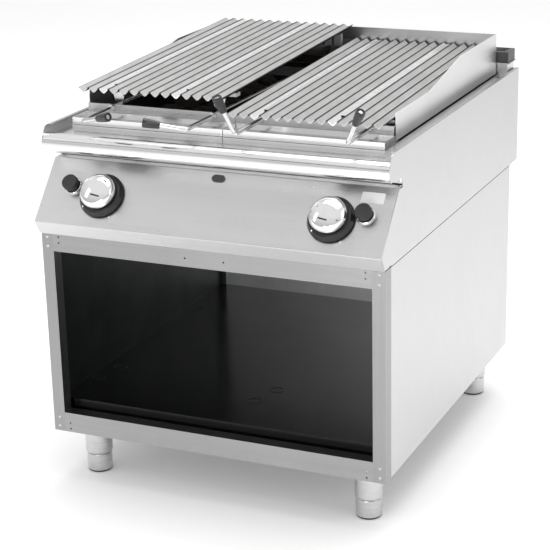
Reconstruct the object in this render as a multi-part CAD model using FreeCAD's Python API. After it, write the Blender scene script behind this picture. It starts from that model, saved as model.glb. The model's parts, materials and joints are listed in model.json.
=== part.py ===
import FreeCAD, Part
import os, math, random

# Two-module gas charbroiler on an open cabinet.
# Frame: +X to the operator's right, +Y towards the rear, +Z up, millimetres,
# origin on the floor under the middle of the machine's bounding box.
# All sizes below are written in shop coordinates: x from the left flank,
# y from the cabinet's front frame, z from the floor. ship() moves them.

V = FreeCAD.Vector

# ---------------------------------------------------------------- driving dimensions
W = 800.0             # overall width
Y_REAR = 945.0        # rear of the upper body
Y_CAB = 885.0         # rear of the lower cabinet
Z_CAB = 118.0         # underside of the cabinet
Z_SEAM = 586.0        # joint between cabinet and upper body
Z_SIDE = 818.0        # top edge of the flank panels
T = 1.5               # stainless sheet
POST = 28.0           # front post width
POST_D = 35.0         # front post depth
Z_OPEN0, Z_OPEN1 = 164.0, 547.0
Z_TOP = 802.0         # flat of the worktop
NOSE_R = 21.0         # rolled front edge
NOSE_Y = 25.0
PAN_T = (78.0, 739.0)     # control panel, top edge (y, z)
PAN_B = (-25.0, 620.0)    # control panel, lower edge
PAN_L = (-6.5, 588.0)     # panel's lower lip
INSET = 36.0          # hob modules stand in from each flank
Y_HOB = 98.0          # front of the hob collar
Z_COLLAR = 809.5
Z_TRAY0, Z_TRAY1 = 810.5, 826.0
Y_UP = 164.0          # upstand behind the grease trays
Z_UP = 844.5
SPL_IN = 39.0         # splash guard outer face from each flank
SPL_Y0, SPL_Y1, SPL_Y2, SPL_Y3 = 172.0, 385.0, 608.0, 880.0
SPL_Z0, SPL_ZL, SPL_ZH = 812.5, 871.0, 909.0
GR_Y0, GR_Y1 = 118.0, 870.0     # grate channels, front tip and rear end
GR_PITCH, GR_N = 25.1, 14
GR_HALF, GR_DEPTH, GR_T = 11.7, 11.0, 1.8
GR_Z = 856.5          # channel top at the front tip, lowered
GR_SLOPE = 2.0        # degrees, falling to the front
LIFT = 32.0
TRAVEL = 110.0        # lever travel, degrees
ROD_R = 5.0
Z_SHAFT = 836.5
Y_CRANK = 32.0        # plane of the crank arms
SHAFT_X = (101.0, 348.0, 461.0, 708.0)
ARM_REST = (75.0, -79.0, -16.5, 29.5)   # arm angle from vertical, + towards +X
ARM_LEAN = 20.0       # degrees the arms lean forward of square to the shaft
CAM_Y = ((195.5, 201.5), (797.0, 803.0))
KNOB_X = (145.0, 676.0)
KNOB_Z = 676.0
KNOB_GAP = 2.8        # extra stand-off that leaves room to press the knob
IGN_X = (68.0, 746.0)
IGN_Z = 689.0
LEG_X = (67.0, 733.0)
LEG_Y = (78.0, 822.0)
FOOT_R = 29.0
SLEEVE_R = 31.0
FUEL_X0 = (45.0, 405.0)     # fireboxes, left wall
FUEL_W = 350.0
FB_Y0, FB_Y1 = 192.0, 884.0
FB_Z0, FB_Z1 = 650.0, 808.0
Y_ORIGIN = 458.25      # shop y of the frame's origin

os.makedirs("parts", exist_ok=True)
made = {}


def ship(name, shape):
    s = shape.copy()
    s.translate(V(-W / 2, -Y_ORIGIN, 0))
    made[name] = s
    s.exportStep("parts/%s.step" % name)
    bad = [i for i, q in enumerate(s.Solids) if not q.isValid()]
    bb = s.BoundBox
    print("%-22s solids %3d vol %10.0f  x %.1f..%.1f y %.1f..%.1f z %.1f..%.1f %s" % (
        name, len(s.Solids), s.Volume, bb.XMin, bb.XMax, bb.YMin, bb.YMax, bb.ZMin, bb.ZMax, "BAD %s" % bad if bad else ""))


def box(x0, x1, y0, y1, z0, z1):
    return Part.makeBox(x1 - x0, y1 - y0, z1 - z0, V(x0, y0, z0))


def cyl(p, d, r, h):
    return Part.makeCylinder(r, h, V(*p), V(*d))


def fuse(shapes):
    s = shapes[0]
    if len(shapes) > 1:
        s = s.fuse(shapes[1:])
    return s.removeSplitter()


def group(shapes):
    sol = []
    for s in shapes:
        sol += s.Solids
    return Part.makeCompound(sol)


def offset_path(pts, t):
    # mitred offset of an open polyline to its left
    n = len(pts)
    out = []
    for i in range(n):
        def nrm(a, b):
            dx, dy = b[0] - a[0], b[1] - a[1]
            l = math.hypot(dx, dy)
            return (-dy / l, dx / l)
        if i == 0:
            m = nrm(pts[0], pts[1]); out.append((pts[0][0] + m[0] * t, pts[0][1] + m[1] * t)); continue
        if i == n - 1:
            m = nrm(pts[-2], pts[-1]); out.append((pts[-1][0] + m[0] * t, pts[-1][1] + m[1] * t)); continue
        a = nrm(pts[i - 1], pts[i]); b = nrm(pts[i], pts[i + 1])
        k = 1 + a[0] * b[0] + a[1] * b[1]
        out.append((pts[i][0] + (a[0] + b[0]) / k * t, pts[i][1] + (a[1] + b[1]) / k * t))
    return out


def path_edges(pts, radii, to3):
    # polyline with rounded corners; radii[i] belongs to pts[i]
    edges = []
    cur = pts[0]
    for i in range(1, len(pts)):
        if i < len(pts) - 1 and radii[i] > 0.01:
            p, a, b = pts[i], pts[i - 1], pts[i + 1]
            ua = ((a[0] - p[0]), (a[1] - p[1])); la = math.hypot(*ua); ua = (ua[0] / la, ua[1] / la)
            ub = ((b[0] - p[0]), (b[1] - p[1])); lb = math.hypot(*ub); ub = (ub[0] / lb, ub[1] / lb)
            c = max(-1, min(1, ua[0] * ub[0] + ua[1] * ub[1]))
            half = math.acos(c) / 2
            r = radii[i]
            d = r / math.tan(half)
            t1 = (p[0] + ua[0] * d, p[1] + ua[1] * d)
            t2 = (p[0] + ub[0] * d, p[1] + ub[1] * d)
            bis = (ua[0] + ub[0], ua[1] + ub[1]); lbis = math.hypot(*bis)
            hc = r / math.sin(half)
            cen = (p[0] + bis[0] / lbis * hc, p[1] + bis[1] / lbis * hc)
            mid = (cen[0] - bis[0] / lbis * r, cen[1] - bis[1] / lbis * r)
            if math.hypot(t1[0] - cur[0], t1[1] - cur[1]) > 1e-4:
                edges.append(Part.LineSegment(to3(cur), to3(t1)).toShape())
            edges.append(Part.Arc(to3(t1), to3(mid), to3(t2)).toShape())
            cur = t2
        else:
            if math.hypot(pts[i][0] - cur[0], pts[i][1] - cur[1]) > 1e-4:
                edges.append(Part.LineSegment(to3(cur), to3(pts[i])).toShape())
            cur = pts[i]
    return edges


def bent(pts, radii, t, to3, ext):
    # bent sheet: thickness t to the left of the path; radii are those of the path side
    inner = offset_path(pts, t)
    rin = []
    for i in range(len(pts)):
        if i in (0, len(pts) - 1) or radii[i] <= 0.01:
            rin.append(0.0); continue
        a, p, b = pts[i - 1], pts[i], pts[i + 1]
        cross = (p[0] - a[0]) * (b[1] - p[1]) - (p[1] - a[1]) * (b[0] - p[0])
        rin.append(radii[i] - t if cross > 0 else radii[i] + t)
        if rin[-1] < 0.2:
            rin[-1] = 0.0
    e = path_edges(pts, radii, to3)
    e.append(Part.LineSegment(to3(pts[-1]), to3(inner[-1])).toShape())
    e += path_edges(inner[::-1], rin[::-1], to3)
    e.append(Part.LineSegment(to3(inner[0]), to3(pts[0])).toShape())
    w = Part.Wire(Part.__sortEdges__(e))
    f = Part.Face(w)
    return f.extrude(V(*ext))


def yz(x):
    return lambda p: V(x, p[0], p[1])


def revolve(profile, closed_axis=True):
    # profile [(r, h)...] about +Z
    pts = [V(r, 0, h) for r, h in profile]
    pts.append(pts[0])
    f = Part.Face(Part.makePolygon(pts))
    return f.revolve(V(0, 0, 0), V(0, 0, 1), 360)


def revolve_edges(edges):
    f = Part.Face(Part.Wire(Part.__sortEdges__(edges)))
    return f.revolve(V(0, 0, 0), V(0, 0, 1), 360)


# panel plane
PT, PB = PAN_T, PAN_B
_l = math.hypot(PT[0] - PB[0], PT[1] - PB[1])
N_Y, N_Z = -(PT[1] - PB[1]) / _l, (PT[0] - PB[0]) / _l       # outward normal
TILT = math.degrees(math.atan2(-N_Y, N_Z))


def on_panel(x, z):
    f = (PT[1] - z) / (PT[1] - PB[1])
    return V(x, PT[0] - f * (PT[0] - PB[0]), z)


def to_panel(shape, x, z, lift=0.0):
    s = shape.copy()
    s.rotate(V(0, 0, 0), V(1, 0, 0), TILT)
    p = on_panel(x, z)
    s.translate(V(p.x, p.y + N_Y * lift, p.z + N_Z * lift))
    return s


# ---------------------------------------------------------------- cabinet front frame
def post(left):
    # channel: front face, outer flank and inner return
    s = box(0, POST, 0, POST_D, Z_CAB, Z_SEAM)
    s = s.cut(box(T, POST - T, T, POST_D + 1, Z_CAB - 1, Z_SEAM + 1))
    s = s.cut(box(POST - T - 0.01, POST + 1, 30, POST_D + 1, Z_CAB - 1, Z_SEAM + 1))
    for z in (222.0, 252.0, 459.0, 489.0):      # door-hinge holes in the return
        s = s.cut(cyl((POST - 5, 17, z), (1, 0, 0), 2.2, 10))
    if not left:
        s = s.mirror(V(W / 2, 0, 0), V(1, 0, 0))
    return s


def rail(z0, z1, lip_top):
    a, b = POST, W - POST
    if lip_top:
        pts = [(30.0, z1), (0.0, z1), (0.0, z0), (30.0, z0)]
    else:
        pts = [(30.0, z1), (0.0, z1), (0.0, z0), (30.0, z0)]
    return bent(pts, [0, 0, 0, 0], T, yz(a), (b - a, 0, 0))


top = rail(Z_OPEN1, Z_SEAM, True)
bot = rail(Z_CAB, Z_OPEN0, False)
for x in (42.0, W - 42.0):
    for z in (580.5, 567.0):
        top = top.cut(cyl((x, -1, z), (0, 1, 0), 2.0, 5))
    for z in (139.5, 126.0):
        bot = bot.cut(cyl((x, -1, z), (0, 1, 0), 2.0, 5))
for x in (350.0, 440.0):
    top = top.cut(cyl((x, -1, 566.0), (0, 1, 0), 2.0, 5))
ship("front_posts", group([post(True), post(False)]))
ship("front_rails", group([top, bot]))

# weld dimples and fixings on the frame
heads = []
for x in (13.0, W - 13.0):
    for z in (579.0, 558.0, 151.0, 130.0):
        d = Part.makeSphere(6.0, V(x, 4.7, z), V(0, -1, 0), 0, 90, 360)
        d = d.common(box(x - 8, x + 8, -3, 0, z - 8, z + 8))
        heads.append(d)

# ---------------------------------------------------------------- cabinet skins
def flank(left):
    pts = [(14.0, POST_D + T), (0.0, POST_D + T), (0.0, Y_CAB), (14.0, Y_CAB)]
    s = bent(pts[::-1], [0, 1.5, 1.5, 0], T, lambda p: V(p[0], p[1], Z_CAB), (0, 0, Z_SEAM - Z_CAB))
    if s.BoundBox.XMin < -0.5:
        s = bent(pts, [0, 1.5, 1.5, 0], T, lambda p: V(p[0], p[1], Z_CAB), (0, 0, Z_SEAM - Z_CAB))
    s = s.cut(box(-5, 40, POST_D - 3, Y_CAB + 3, Z_SEAM - 0.8, Z_SEAM + 3))
    if not left:
        s = s.mirror(V(W / 2, 0, 0), V(1, 0, 0))
    return s


ship("side_panel_left", flank(True))
ship("side_panel_right", flank(False))

back = box(14.5, W - 14.5, Y_CAB - T, Y_CAB, Z_CAB, Z_SEAM - 1)
ship("cabinet_back", back)

Z_FL = 184.0
floor_s = box(T + 0.3, W - T - 0.3, POST_D + 2.5, Y_CAB - T - 0.3, Z_FL, Z_FL + T)
floor_s = floor_s.cut(box(0, 15, Y_CAB - T - 3, Y_CAB, Z_FL - 1, Z_FL + 5)).cut(box(W - 15, W, Y_CAB - T - 3, Y_CAB, Z_FL - 1, Z_FL + 5))
floor_s = floor_s.cut(box(0, 15, 30, POST_D + 4, Z_FL - 1, Z_FL + 5)).cut(box(W - 15, W, 30, POST_D + 4, Z_FL - 1, Z_FL + 5))
bead = []
for (x, y) in ((22.0, 166.0), (39.0, 242.0), (32.0, 673.0), (426.0, 166.0), (447.0, 243.0)):
    ring = Part.makeTorus(15.0, 2.2, V(x, y, Z_FL + T - 1.4), V(0, 0, 1))
    ring = ring.common(box(x - 30, x + 30, y - 30, y + 30, Z_FL + 0.4, Z_FL + 10))
    bead.append(ring)
# front edge turned down behind the bottom rail
floor_s = floor_s.fuse(box(16.0, W - 16.0, POST_D + 2.5, POST_D + 2.5 + T, Z_FL - 32.0, Z_FL + 0.5))
floor_s = floor_s.fuse(bead).removeSplitter()
ship("cabinet_floor", floor_s)

ceil_s = box(T + 0.3, W - T - 0.3, POST_D + 2.5, Y_CAB - T - 0.3, Z_SEAM - 10, Z_SEAM - 10 + T)
ceil_s = ceil_s.cut(box(0, 15, 30, POST_D + 4, 500, 600)).cut(box(W - 15, W, 30, POST_D + 4, 500, 600))
ceil_s = ceil_s.cut(box(0, 15, Y_CAB - T - 3, Y_CAB, 500, 600)).cut(box(W - 15, W, Y_CAB - T - 3, Y_CAB, 500, 600))
ship("cabinet_ceiling", ceil_s)

# base channels under the floor carry the legs
chs = []
for y in LEG_Y:
    pts = [(y - 32, Z_CAB), (y - 32, Z_FL - 0.2), (y + 32, Z_FL - 0.2), (y + 32, Z_CAB)]
    s = bent(pts[::-1], [0, 2, 2, 0], 2.5, yz(16.0), (W - 32.0, 0, 0))
    if s.BoundBox.ZMax > Z_FL:
        s = bent(pts, [0, 2, 2, 0], 2.5, yz(16.0), (W - 32.0, 0, 0))
    s = s.fuse(box(16.0, W - 16.0, y - 32, y + 32, Z_CAB, Z_CAB + 3.0)).removeSplitter()
    for x in LEG_X:
        s = s.cut(cyl((x, y, Z_CAB - 1), (0, 0, 1), 11.0, 6))
    chs.append(s)
ship("base_channels", group(chs))

# ---------------------------------------------------------------- legs
def sleeve(x, y):
    # pressed tube with a shoulder and a screwed bush inside its foot
    outer = [(0, 118), (SLEEVE_R - 0.6, 118), (SLEEVE_R, 117.4), (SLEEVE_R, 50), (SLEEVE_R - 0.8, 47.2), (SLEEVE_R - 2.0, 45.6), (12.2, 45.6), (12.2, 57), (SLEEVE_R - 2.0, 57), (SLEEVE_R - 2.0, 114), (0, 114)]
    s = revolve(outer)
    s.translate(V(x, y, 0))
    return s


def foot(x, y):
    # adjustable foot: straight cup on a black skid ring, with a stem up into the sleeve
    prof = [(0, 0), (FOOT_R - 3.0, 0), (FOOT_R - 1.0, 2.0), (FOOT_R - 1.0, 4.0), (FOOT_R - 0.2, 5.0), (FOOT_R - 0.2, 42.5), (FOOT_R - 1.0, 44.4), (FOOT_R - 2.5, 45.2), (12.12, 45.2), (12.12, 109), (11.0, 110.5), (0, 110.5)]
    s = revolve(prof)
    s.translate(V(x, y, 0))
    return s


ship("leg_sleeves", group([sleeve(x, y) for x in LEG_X for y in LEG_Y]))
for nm, x, y in (("foot_front_left", LEG_X[0], LEG_Y[0]), ("foot_front_right", LEG_X[1], LEG_Y[0]),
                 ("foot_rear_left", LEG_X[0], LEG_Y[1]), ("foot_rear_right", LEG_X[1], LEG_Y[1])):
    ship(nm, foot(x, y))

# ---------------------------------------------------------------- upper body
def upper_flank(left):
    g = 2.2       # stands back inside the console's skin
    y_n, r = NOSE_Y + g, NOSE_R - g
    pts = [(Y_REAR, Z_SEAM + 0.8), (Y_REAR, Z_SIDE), (y_n + 14, Z_SIDE), (y_n, Z_TOP - 10), (y_n, 2 * Z_TOP / 2 - 2 * NOSE_R + g),
           (104.0, 753.0 + g), (104.0, PT[1] - 3), (PT[0] + 4, PT[1] - 3), (PB[0] + 3.2, PB[1]), (PAN_L[0] + 2.9, Z_SEAM + 3.9), (POST_D + T, Z_SEAM + 3.9), (POST_D + T, Z_SEAM + 0.8)]
    rad = [0, 2, 12, 8, 18, 0, 0, 0, 2, 0, 0, 0]
    e = path_edges(pts + [pts[0]], rad + [0], yz(0))
    s = Part.Face(Part.Wire(Part.__sortEdges__(e))).extrude(V(T, 0, 0))
    # folded top rim
    s = s.fuse(box(0, 9.0, 60.0, Y_REAR - 3, Z_SIDE - T, Z_SIDE)).removeSplitter()
    if not left:
        s = s.mirror(V(W / 2, 0, 0), V(1, 0, 0))
    return s


ship("upper_side_left", upper_flank(True))
ship("upper_side_right", upper_flank(False))

pts = [(Y_CAB + 2, Z_SEAM + 0.8), (Y_REAR, Z_SEAM + 0.8), (Y_REAR, Z_SIDE - 2.0)]
ub = bent(pts, [0, 1.6, 0], T, yz(T + 0.3), (W - 2 * T - 0.6, 0, 0))
GAS = (700.0, 915.0)
ub = ub.cut(cyl((GAS[0], GAS[1], Z_SEAM - 5), (0, 0, 1), 13.0, 20))
for i in range(9):
    ub = ub.cut(box(180 + i * 50, 212 + i * 50, Y_REAR - 5, Y_REAR + 5, 690, 697))
    ub = ub.cut(box(180 + i * 50, 212 + i * 50, Y_REAR - 5, Y_REAR + 5, 710, 717))
ship("upper_back", ub)

# worktop front with its rolled nose; the sheet runs round to the recess over the panel
zl = Z_TOP - 2 * NOSE_R
pts = [(Y_HOB + 56, Z_TOP), (NOSE_Y, Z_TOP), (NOSE_Y, zl), (102.0, zl - 4.0), (102.0, PT[1] + 4.0)]
nose = bent(pts, [0, NOSE_R - 0.05, NOSE_R - 1.8, 1.8, 0], T, yz(0.0), (W, 0, 0))
# the flank panels stand up beside the flat, so the flat stops short of them
nose = nose.cut(box(-1, T + 0.3, NOSE_Y + NOSE_R, 200, Z_TOP - 3, Z_TOP + 3)).cut(box(W - T - 0.3, W + 1, NOSE_Y + NOSE_R, 200, Z_TOP - 3, Z_TOP + 3))
nose = nose.cut(box(T * 0 - 1, T + 0.3, NOSE_Y + 2.1, 120, 700, Z_TOP + 3)).cut(box(W - T - 0.3, W + 1, NOSE_Y + 2.1, 120, 700, Z_TOP + 3))
ship("worktop_front", nose)

# flat margins of the worktop with the raised collar around the hob modules
side_l = bent([(T + 0.3, Z_TOP - T), (INSET, Z_TOP - T), (INSET, Z_COLLAR)], [0, 1.6, 0], T, lambda p: V(p[0], Y_HOB + 56.3, p[1]), (0, Y_CAB - Y_HOB - 56.3 - 3, 0))
side_r = side_l.mirror(V(W / 2, 0, 0), V(1, 0, 0))
bridge = bent([(396.4, Z_TOP - 8), (396.4, Z_COLLAR - 0.2), (403.6, Z_COLLAR - 0.2), (403.6, Z_TOP - 8)][::-1], [0, 1.6, 1.6, 0], T, lambda p: V(p[0], Y_UP + 30, p[1]), (0, 690, 0))
ship("worktop_margins", group([side_l, side_r, bridge]))


def collar(x0, x1):
    s = bent([(Y_HOB, Z_TOP + 0.05), (Y_HOB, Z_COLLAR), (Y_UP + 24, Z_COLLAR)][::-1], [0, 2.0, 0], T, yz(x0), (x1 - x0, 0, 0))
    if s.BoundBox.ZMax > Z_COLLAR + 0.2:
        s = bent([(Y_HOB, Z_TOP + 0.05), (Y_HOB, Z_COLLAR), (Y_UP + 24, Z_COLLAR)], [0, 2.0, 0], -T, yz(x0), (x1 - x0, 0, 0))
    # returned end walls
    for xa in (x0, x1 - T):
        s = s.fuse(box(xa, xa + T, Y_HOB + 1.0, Y_UP - 8.3, Z_TOP + 0.05, Z_COLLAR - 0.5))
    return s.removeSplitter()


ship("hob_collars", group([collar(INSET + 0.2, 399.4), collar(400.6, W - INSET - 0.2)]))

# ---------------------------------------------------------------- control panel
pan = bent([(102.0, PT[1] + 2.0), PT, PB, PAN_L, (26.0, PAN_L[1])], [0, 2.5, 3.0, 2.0, 0], T, yz(0.0), (W, 0, 0))
for x in KNOB_X:
    pan = pan.cut(to_panel(Part.makeCylinder(7.0, 12, V(0, 0, -6)), x, KNOB_Z))
for x in IGN_X:
    pan = pan.cut(to_panel(Part.makeCylinder(15.0, 12, V(0, 0, -6)), x, IGN_Z))
PW_X, PW_Z = 403.0, 727.0
slot = Part.makeCylinder(6.5, 12, V(-7, 0, -6)).fuse([Part.makeCylinder(6.5, 12, V(7, 0, -6)), Part.makeBox(14, 13, 12, V(-7, -6.5, -6))])
pan = pan.cut(to_panel(slot, PW_X, PW_Z))
pan = pan.cut(box(-1, T + 0.3, 2, 110, Z_SEAM + 4, PT[1] + 6).common(box(-1, T + 0.3, 60, 110, PT[1] - 1.0, PT[1] + 6)))
ship("control_panel", pan)

# sight window of the pilots: a black oval grommet
gr = Part.makeCylinder(8.3, 2.0, V(-7, 0, 0.05)).fuse([Part.makeCylinder(8.3, 2.0, V(7, 0, 0.05)), Part.makeBox(14, 16.6, 2.0, V(-7, -8.3, 0.05))])
gi = Part.makeCylinder(6.3, 4.0, V(-7, 0, -3.5)).fuse([Part.makeCylinder(6.3, 4.0, V(7, 0, -3.5)), Part.makeBox(14, 12.6, 4.0, V(-7, -6.3, -3.5))])
gr = gr.fuse(gi).removeSplitter()
ship("pilot_window", to_panel(gr, PW_X, PW_Z))

lab = Part.makeBox(50, 24, 0.4, V(-25, -12, 0.05))
lab = lab.makeFillet(2.0, [e for e in lab.Edges if abs(e.Length - 0.4) < 1e-6])
ship("label_plate", to_panel(lab, 752.0, 719.5))

# ---------------------------------------------------------------- knobs, spindles, igniters
def skirt():
    P = lambda r, h: V(r, 0, h)
    e = [Part.LineSegment(P(5.1, 1.2), P(50.0, 1.2)).toShape(),
         Part.Arc(P(50.0, 1.2), P(51.1, 2.3), P(50.8, 3.4)).toShape(),
         Part.LineSegment(P(50.8, 3.4), P(46.5, 11.5)).toShape(),
         Part.Arc(P(46.5, 11.5), P(45.0, 13.0), P(43.0, 13.4)).toShape(),
         Part.LineSegment(P(43.0, 13.4), P(29.0, 13.4)).toShape(),
         Part.LineSegment(P(29.0, 13.4), P(29.0, 16.0)).toShape(),
         Part.LineSegment(P(29.0, 16.0), P(5.1, 16.0)).toShape(),
         Part.LineSegment(P(5.1, 16.0), P(5.1, 1.2)).toShape()]
    s = revolve_edges(e)
    # pointer notch and dot
    s = s.cut(Part.makeBox(5, 9, 4, V(-2.5, 41.5, 12.2)))
    return s


def dome():
    P = lambda r, h: V(r, 0, h)
    e = [Part.LineSegment(P(0, 16.05), P(36.5, 16.05)).toShape(),
         Part.Arc(P(36.5, 16.05), P(39.2, 17.6), P(39.8, 20.5)).toShape(),
         Part.Arc(P(39.8, 20.5), P(38.6, 30.0), P(33.5, 36.5)).toShape(),
         Part.Arc(P(33.5, 36.5), P(18.0, 43.2), P(1.0, 45.2)).toShape(),
         Part.LineSegment(P(1.0, 45.2), P(0, 45.2)).toShape(),
         Part.LineSegment(P(0, 45.2), P(0, 16.05)).toShape()]
    return revolve_edges(e)


def spindle():
    s = Part.makeCylinder(4.0, 30, V(0, 0, -22)).fuse(Part.makeCylinder(5.06, 9.5, V(0, 0, -7.5))).removeSplitter()
    hub = Part.makeCylinder(5.04, 12.0, V(0, 0, 2.8))
    s = s.fuse(hub).removeSplitter()
    return s.cut(Part.makeBox(12, 4, 9, V(-6, 3.2, 7.0)))


for nm, x in (("left", KNOB_X[0]), ("right", KNOB_X[1])):
    ship("knob_skirt_" + nm, to_panel(skirt(), x, KNOB_Z, KNOB_GAP))
    ship("knob_dome_" + nm, to_panel(dome(), x, KNOB_Z, KNOB_GAP))
    ship("valve_spindle_" + nm, to_panel(spindle(), x, KNOB_Z))

ign_fixed = revolve([(0, -30), (14.2, -30), (14.2, 0.05), (20.2, 0.05), (20.6, 1.6), (19.6, 4.2), (18.4, 5.0), (12.84, 5.0), (12.84, -28), (0, -28)])
ship("igniter_housings", group([to_panel(ign_fixed, x, IGN_Z) for x in IGN_X]))
P = lambda r, h: V(r, 0, h)
cap = revolve_edges([Part.LineSegment(P(0, -9), P(12.74, -9)).toShape(),
                     Part.LineSegment(P(12.74, -9), P(12.74, 9.8)).toShape(),
                     Part.LineSegment(P(12.74, 9.8), P(17.6, 11.6)).toShape(),
                     Part.LineSegment(P(17.6, 11.6), P(17.9, 15.0)).toShape(),
                     Part.LineSegment(P(17.9, 15.0), P(17.6, 22.0)).toShape(),
                     Part.Arc(P(17.6, 22.0), P(16.9, 23.7), P(15.0, 24.4)).toShape(),
                     Part.Arc(P(15.0, 24.4), P(8.0, 23.4), P(1.0, 23.0)).toShape(),
                     Part.LineSegment(P(1.0, 23.0), P(0, 23.0)).toShape(),
                     Part.LineSegment(P(0, 23.0), P(0, -9)).toShape()])
for nm, x in (("left", IGN_X[0]), ("right", IGN_X[1])):
    ship("igniter_button_" + nm, to_panel(cap, x, IGN_Z))

# ---------------------------------------------------------------- hob fronts and grease trays
def hob_front(x0, x1, shafts):
    s = bent([(Y_UP + 28, Z_TRAY0 + 0.8), (Y_UP, Z_TRAY0 + 0.8), (Y_UP, Z_UP)], [0, 1.8, 0], -T, yz(x0), (x1 - x0, 0, 0))
    s = s.fuse(box(x0, x1, Y_UP, Y_UP + 6, Z_UP - T, Z_UP)).removeSplitter()
    for x in shafts:
        s = s.cut(cyl((x, Y_UP - 5, Z_SHAFT), (0, 1, 0), ROD_R + 0.06, 12))
        s = s.cut(box(x - 6.2, x + 6.2, Y_UP + T, Y_UP + 10, Z_UP - 3, Z_UP + 1))
    return s


ship("hob_fronts", group([hob_front(SPL_IN + 1.7, 399.6, SHAFT_X[:2]), hob_front(400.4, W - SPL_IN - 1.7, SHAFT_X[2:])]))


def tray(x0, x1):
    o = box(x0, x1, Y_HOB, Y_UP - 0.6, Z_TRAY0, Z_TRAY1)
    o = o.makeFillet(1.5, [e for e in o.Edges if abs(e.Length - (Z_TRAY1 - Z_TRAY0)) < 1e-6])
    i = box(x0 + 2.5, x1 - 2.5, Y_HOB + 3.5, Y_UP - 2.6, Z_TRAY1 - 6.0, Z_TRAY1 + 1)
    i = i.makeFillet(3.0, [e for e in i.Edges if abs(e.Length - 7.0) < 1e-6])
    u = box(x0 + T, x1 - T, Y_HOB + T, Y_UP - 2.1, Z_TRAY0 - 1, Z_TRAY1 - 7.5)
    return o.cut(i).cut(u)


ship("grease_tray_left", tray(INSET, 399.5))
ship("grease_tray_right", tray(400.5, W - INSET))

# ---------------------------------------------------------------- splash guard
def splash_side(left):
    x = SPL_IN
    pts = [(SPL_Y0, SPL_Z0), (SPL_Y0, SPL_ZL), (SPL_Y1, SPL_ZL), (SPL_Y2, SPL_ZH), (SPL_Y3, SPL_ZH), (SPL_Y3, SPL_Z0)]
    s = Part.Face(Part.makePolygon([V(x, a, b) for a, b in pts + pts[:1]])).extrude(V(1.4, 0, 0))
    s = s.fuse(box(x - 0.0, x + 5.0, SPL_Y0 + 20, SPL_Y3 - 10, SPL_Z0, SPL_Z0 + 1.4))
    # folded safe edge along the top
    s = s.fuse(Part.Face(Part.makePolygon([V(x, a, b) for a, b in ((SPL_Y0, SPL_ZL), (SPL_Y1, SPL_ZL), (SPL_Y2, SPL_ZH), (SPL_Y3, SPL_ZH), (SPL_Y3, SPL_ZH - 8), (SPL_Y2 + 1.5, SPL_ZH - 8), (SPL_Y1 + 1.5, SPL_ZL - 8), (SPL_Y0, SPL_ZL - 8), (SPL_Y0, SPL_ZL))])).extrude(V(2.4, 0, 0)))
    s = s.removeSplitter()
    if not left:
        s = s.mirror(V(W / 2, 0, 0), V(1, 0, 0))
    return s


ship("splash_side_left", splash_side(True))
ship("splash_side_right", splash_side(False))
sb = box(SPL_IN + 1.4, W - SPL_IN - 1.4, SPL_Y3 - 1.4, SPL_Y3, SPL_Z0, SPL_ZH - 1.4)
for xa in (SPL_IN, W - SPL_IN - 2.4):
    sb = sb.cut(box(xa, xa + 2.4, SPL_Y3 - 3, SPL_Y3 + 1, SPL_ZH - 8.1, SPL_ZH + 1))
sb = sb.fuse(box(SPL_IN + 2.4, W - SPL_IN - 2.4, SPL_Y3 - 4.4, SPL_Y3, SPL_ZH - 1.4, SPL_ZH)).removeSplitter()
ship("splash_back", sb)

# ---------------------------------------------------------------- grates
def grate(xc):
    L = (GR_Y1 - GR_Y0)
    chans = []
    x_first = xc - GR_PITCH * (GR_N - 1) / 2
    for i in range(GR_N):
        x = x_first + i * GR_PITCH
        c = bent([(-GR_HALF, 0.0), (0.0, -GR_DEPTH), (GR_HALF, 0.0)], [0, 5.0, 0], GR_T, lambda p: V(x + p[0], 0, p[1]), (0, L, 0))
        if i in (2, 9):
            # these two channels are closed by a flat stiffening strip
            c = c.fuse(box(x - 9.4, x + 9.4, 62.0, L - 6.0, -3.2, -1.6)).removeSplitter()
        chans.append(c)
    g = Part.makeCompound(chans)
    g.rotate(V(0, 0, 0), V(1, 0, 0), GR_SLOPE)
    g.translate(V(0, GR_Y0, GR_Z))
    # cross bars with a level underside that the cams bear on
    zb = Z_SHAFT + 7.0
    x0, x1 = x_first - 9.0, x_first + GR_PITCH * (GR_N - 1) + 9.0
    k = math.tan(math.radians(GR_SLOPE))

    def zbot(y):
        return GR_Z - GR_DEPTH + (y - GR_Y0) * k
    front = Part.Face(Part.makePolygon([V(x0, 189, zb), V(x0, 208, zb), V(x0, 208, zbot(208) + 3.4), V(x0, 189, zbot(189) + 3.4), V(x0, 189, zb)])).extrude(V(x1 - x0, 0, 0))
    rear = Part.Face(Part.makePolygon([V(x0, 795, zb), V(x0, 805, zb), V(x0, 805, zbot(805) + 3.4), V(x0, 795, zbot(795) + 3.4), V(x0, 795, zb)])).extrude(V(x1 - x0, 0, 0))
    for j in range(GR_N - 1):
        xm = x_first + (j + 0.5) * GR_PITCH
        rear = rear.cut(cyl((xm, 790, zb + 12), (0, 1, 0), 6.0, 20)) if j % 2 else rear
    return g, front, rear


def whole_grate(xc, lift):
    g, f, r = grate(xc)
    s = f.fuse(list(g.Solids) + [r]).removeSplitter()
    s.translate(V(0, 0, lift))
    return s


ship("grate_left", whole_grate(220.5, LIFT))
ship("grate_right", whole_grate(579.5, 0.0))

# ---------------------------------------------------------------- lift levers
A_CAM = LIFT / math.radians(TRAVEL)       # rise per radian


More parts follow.
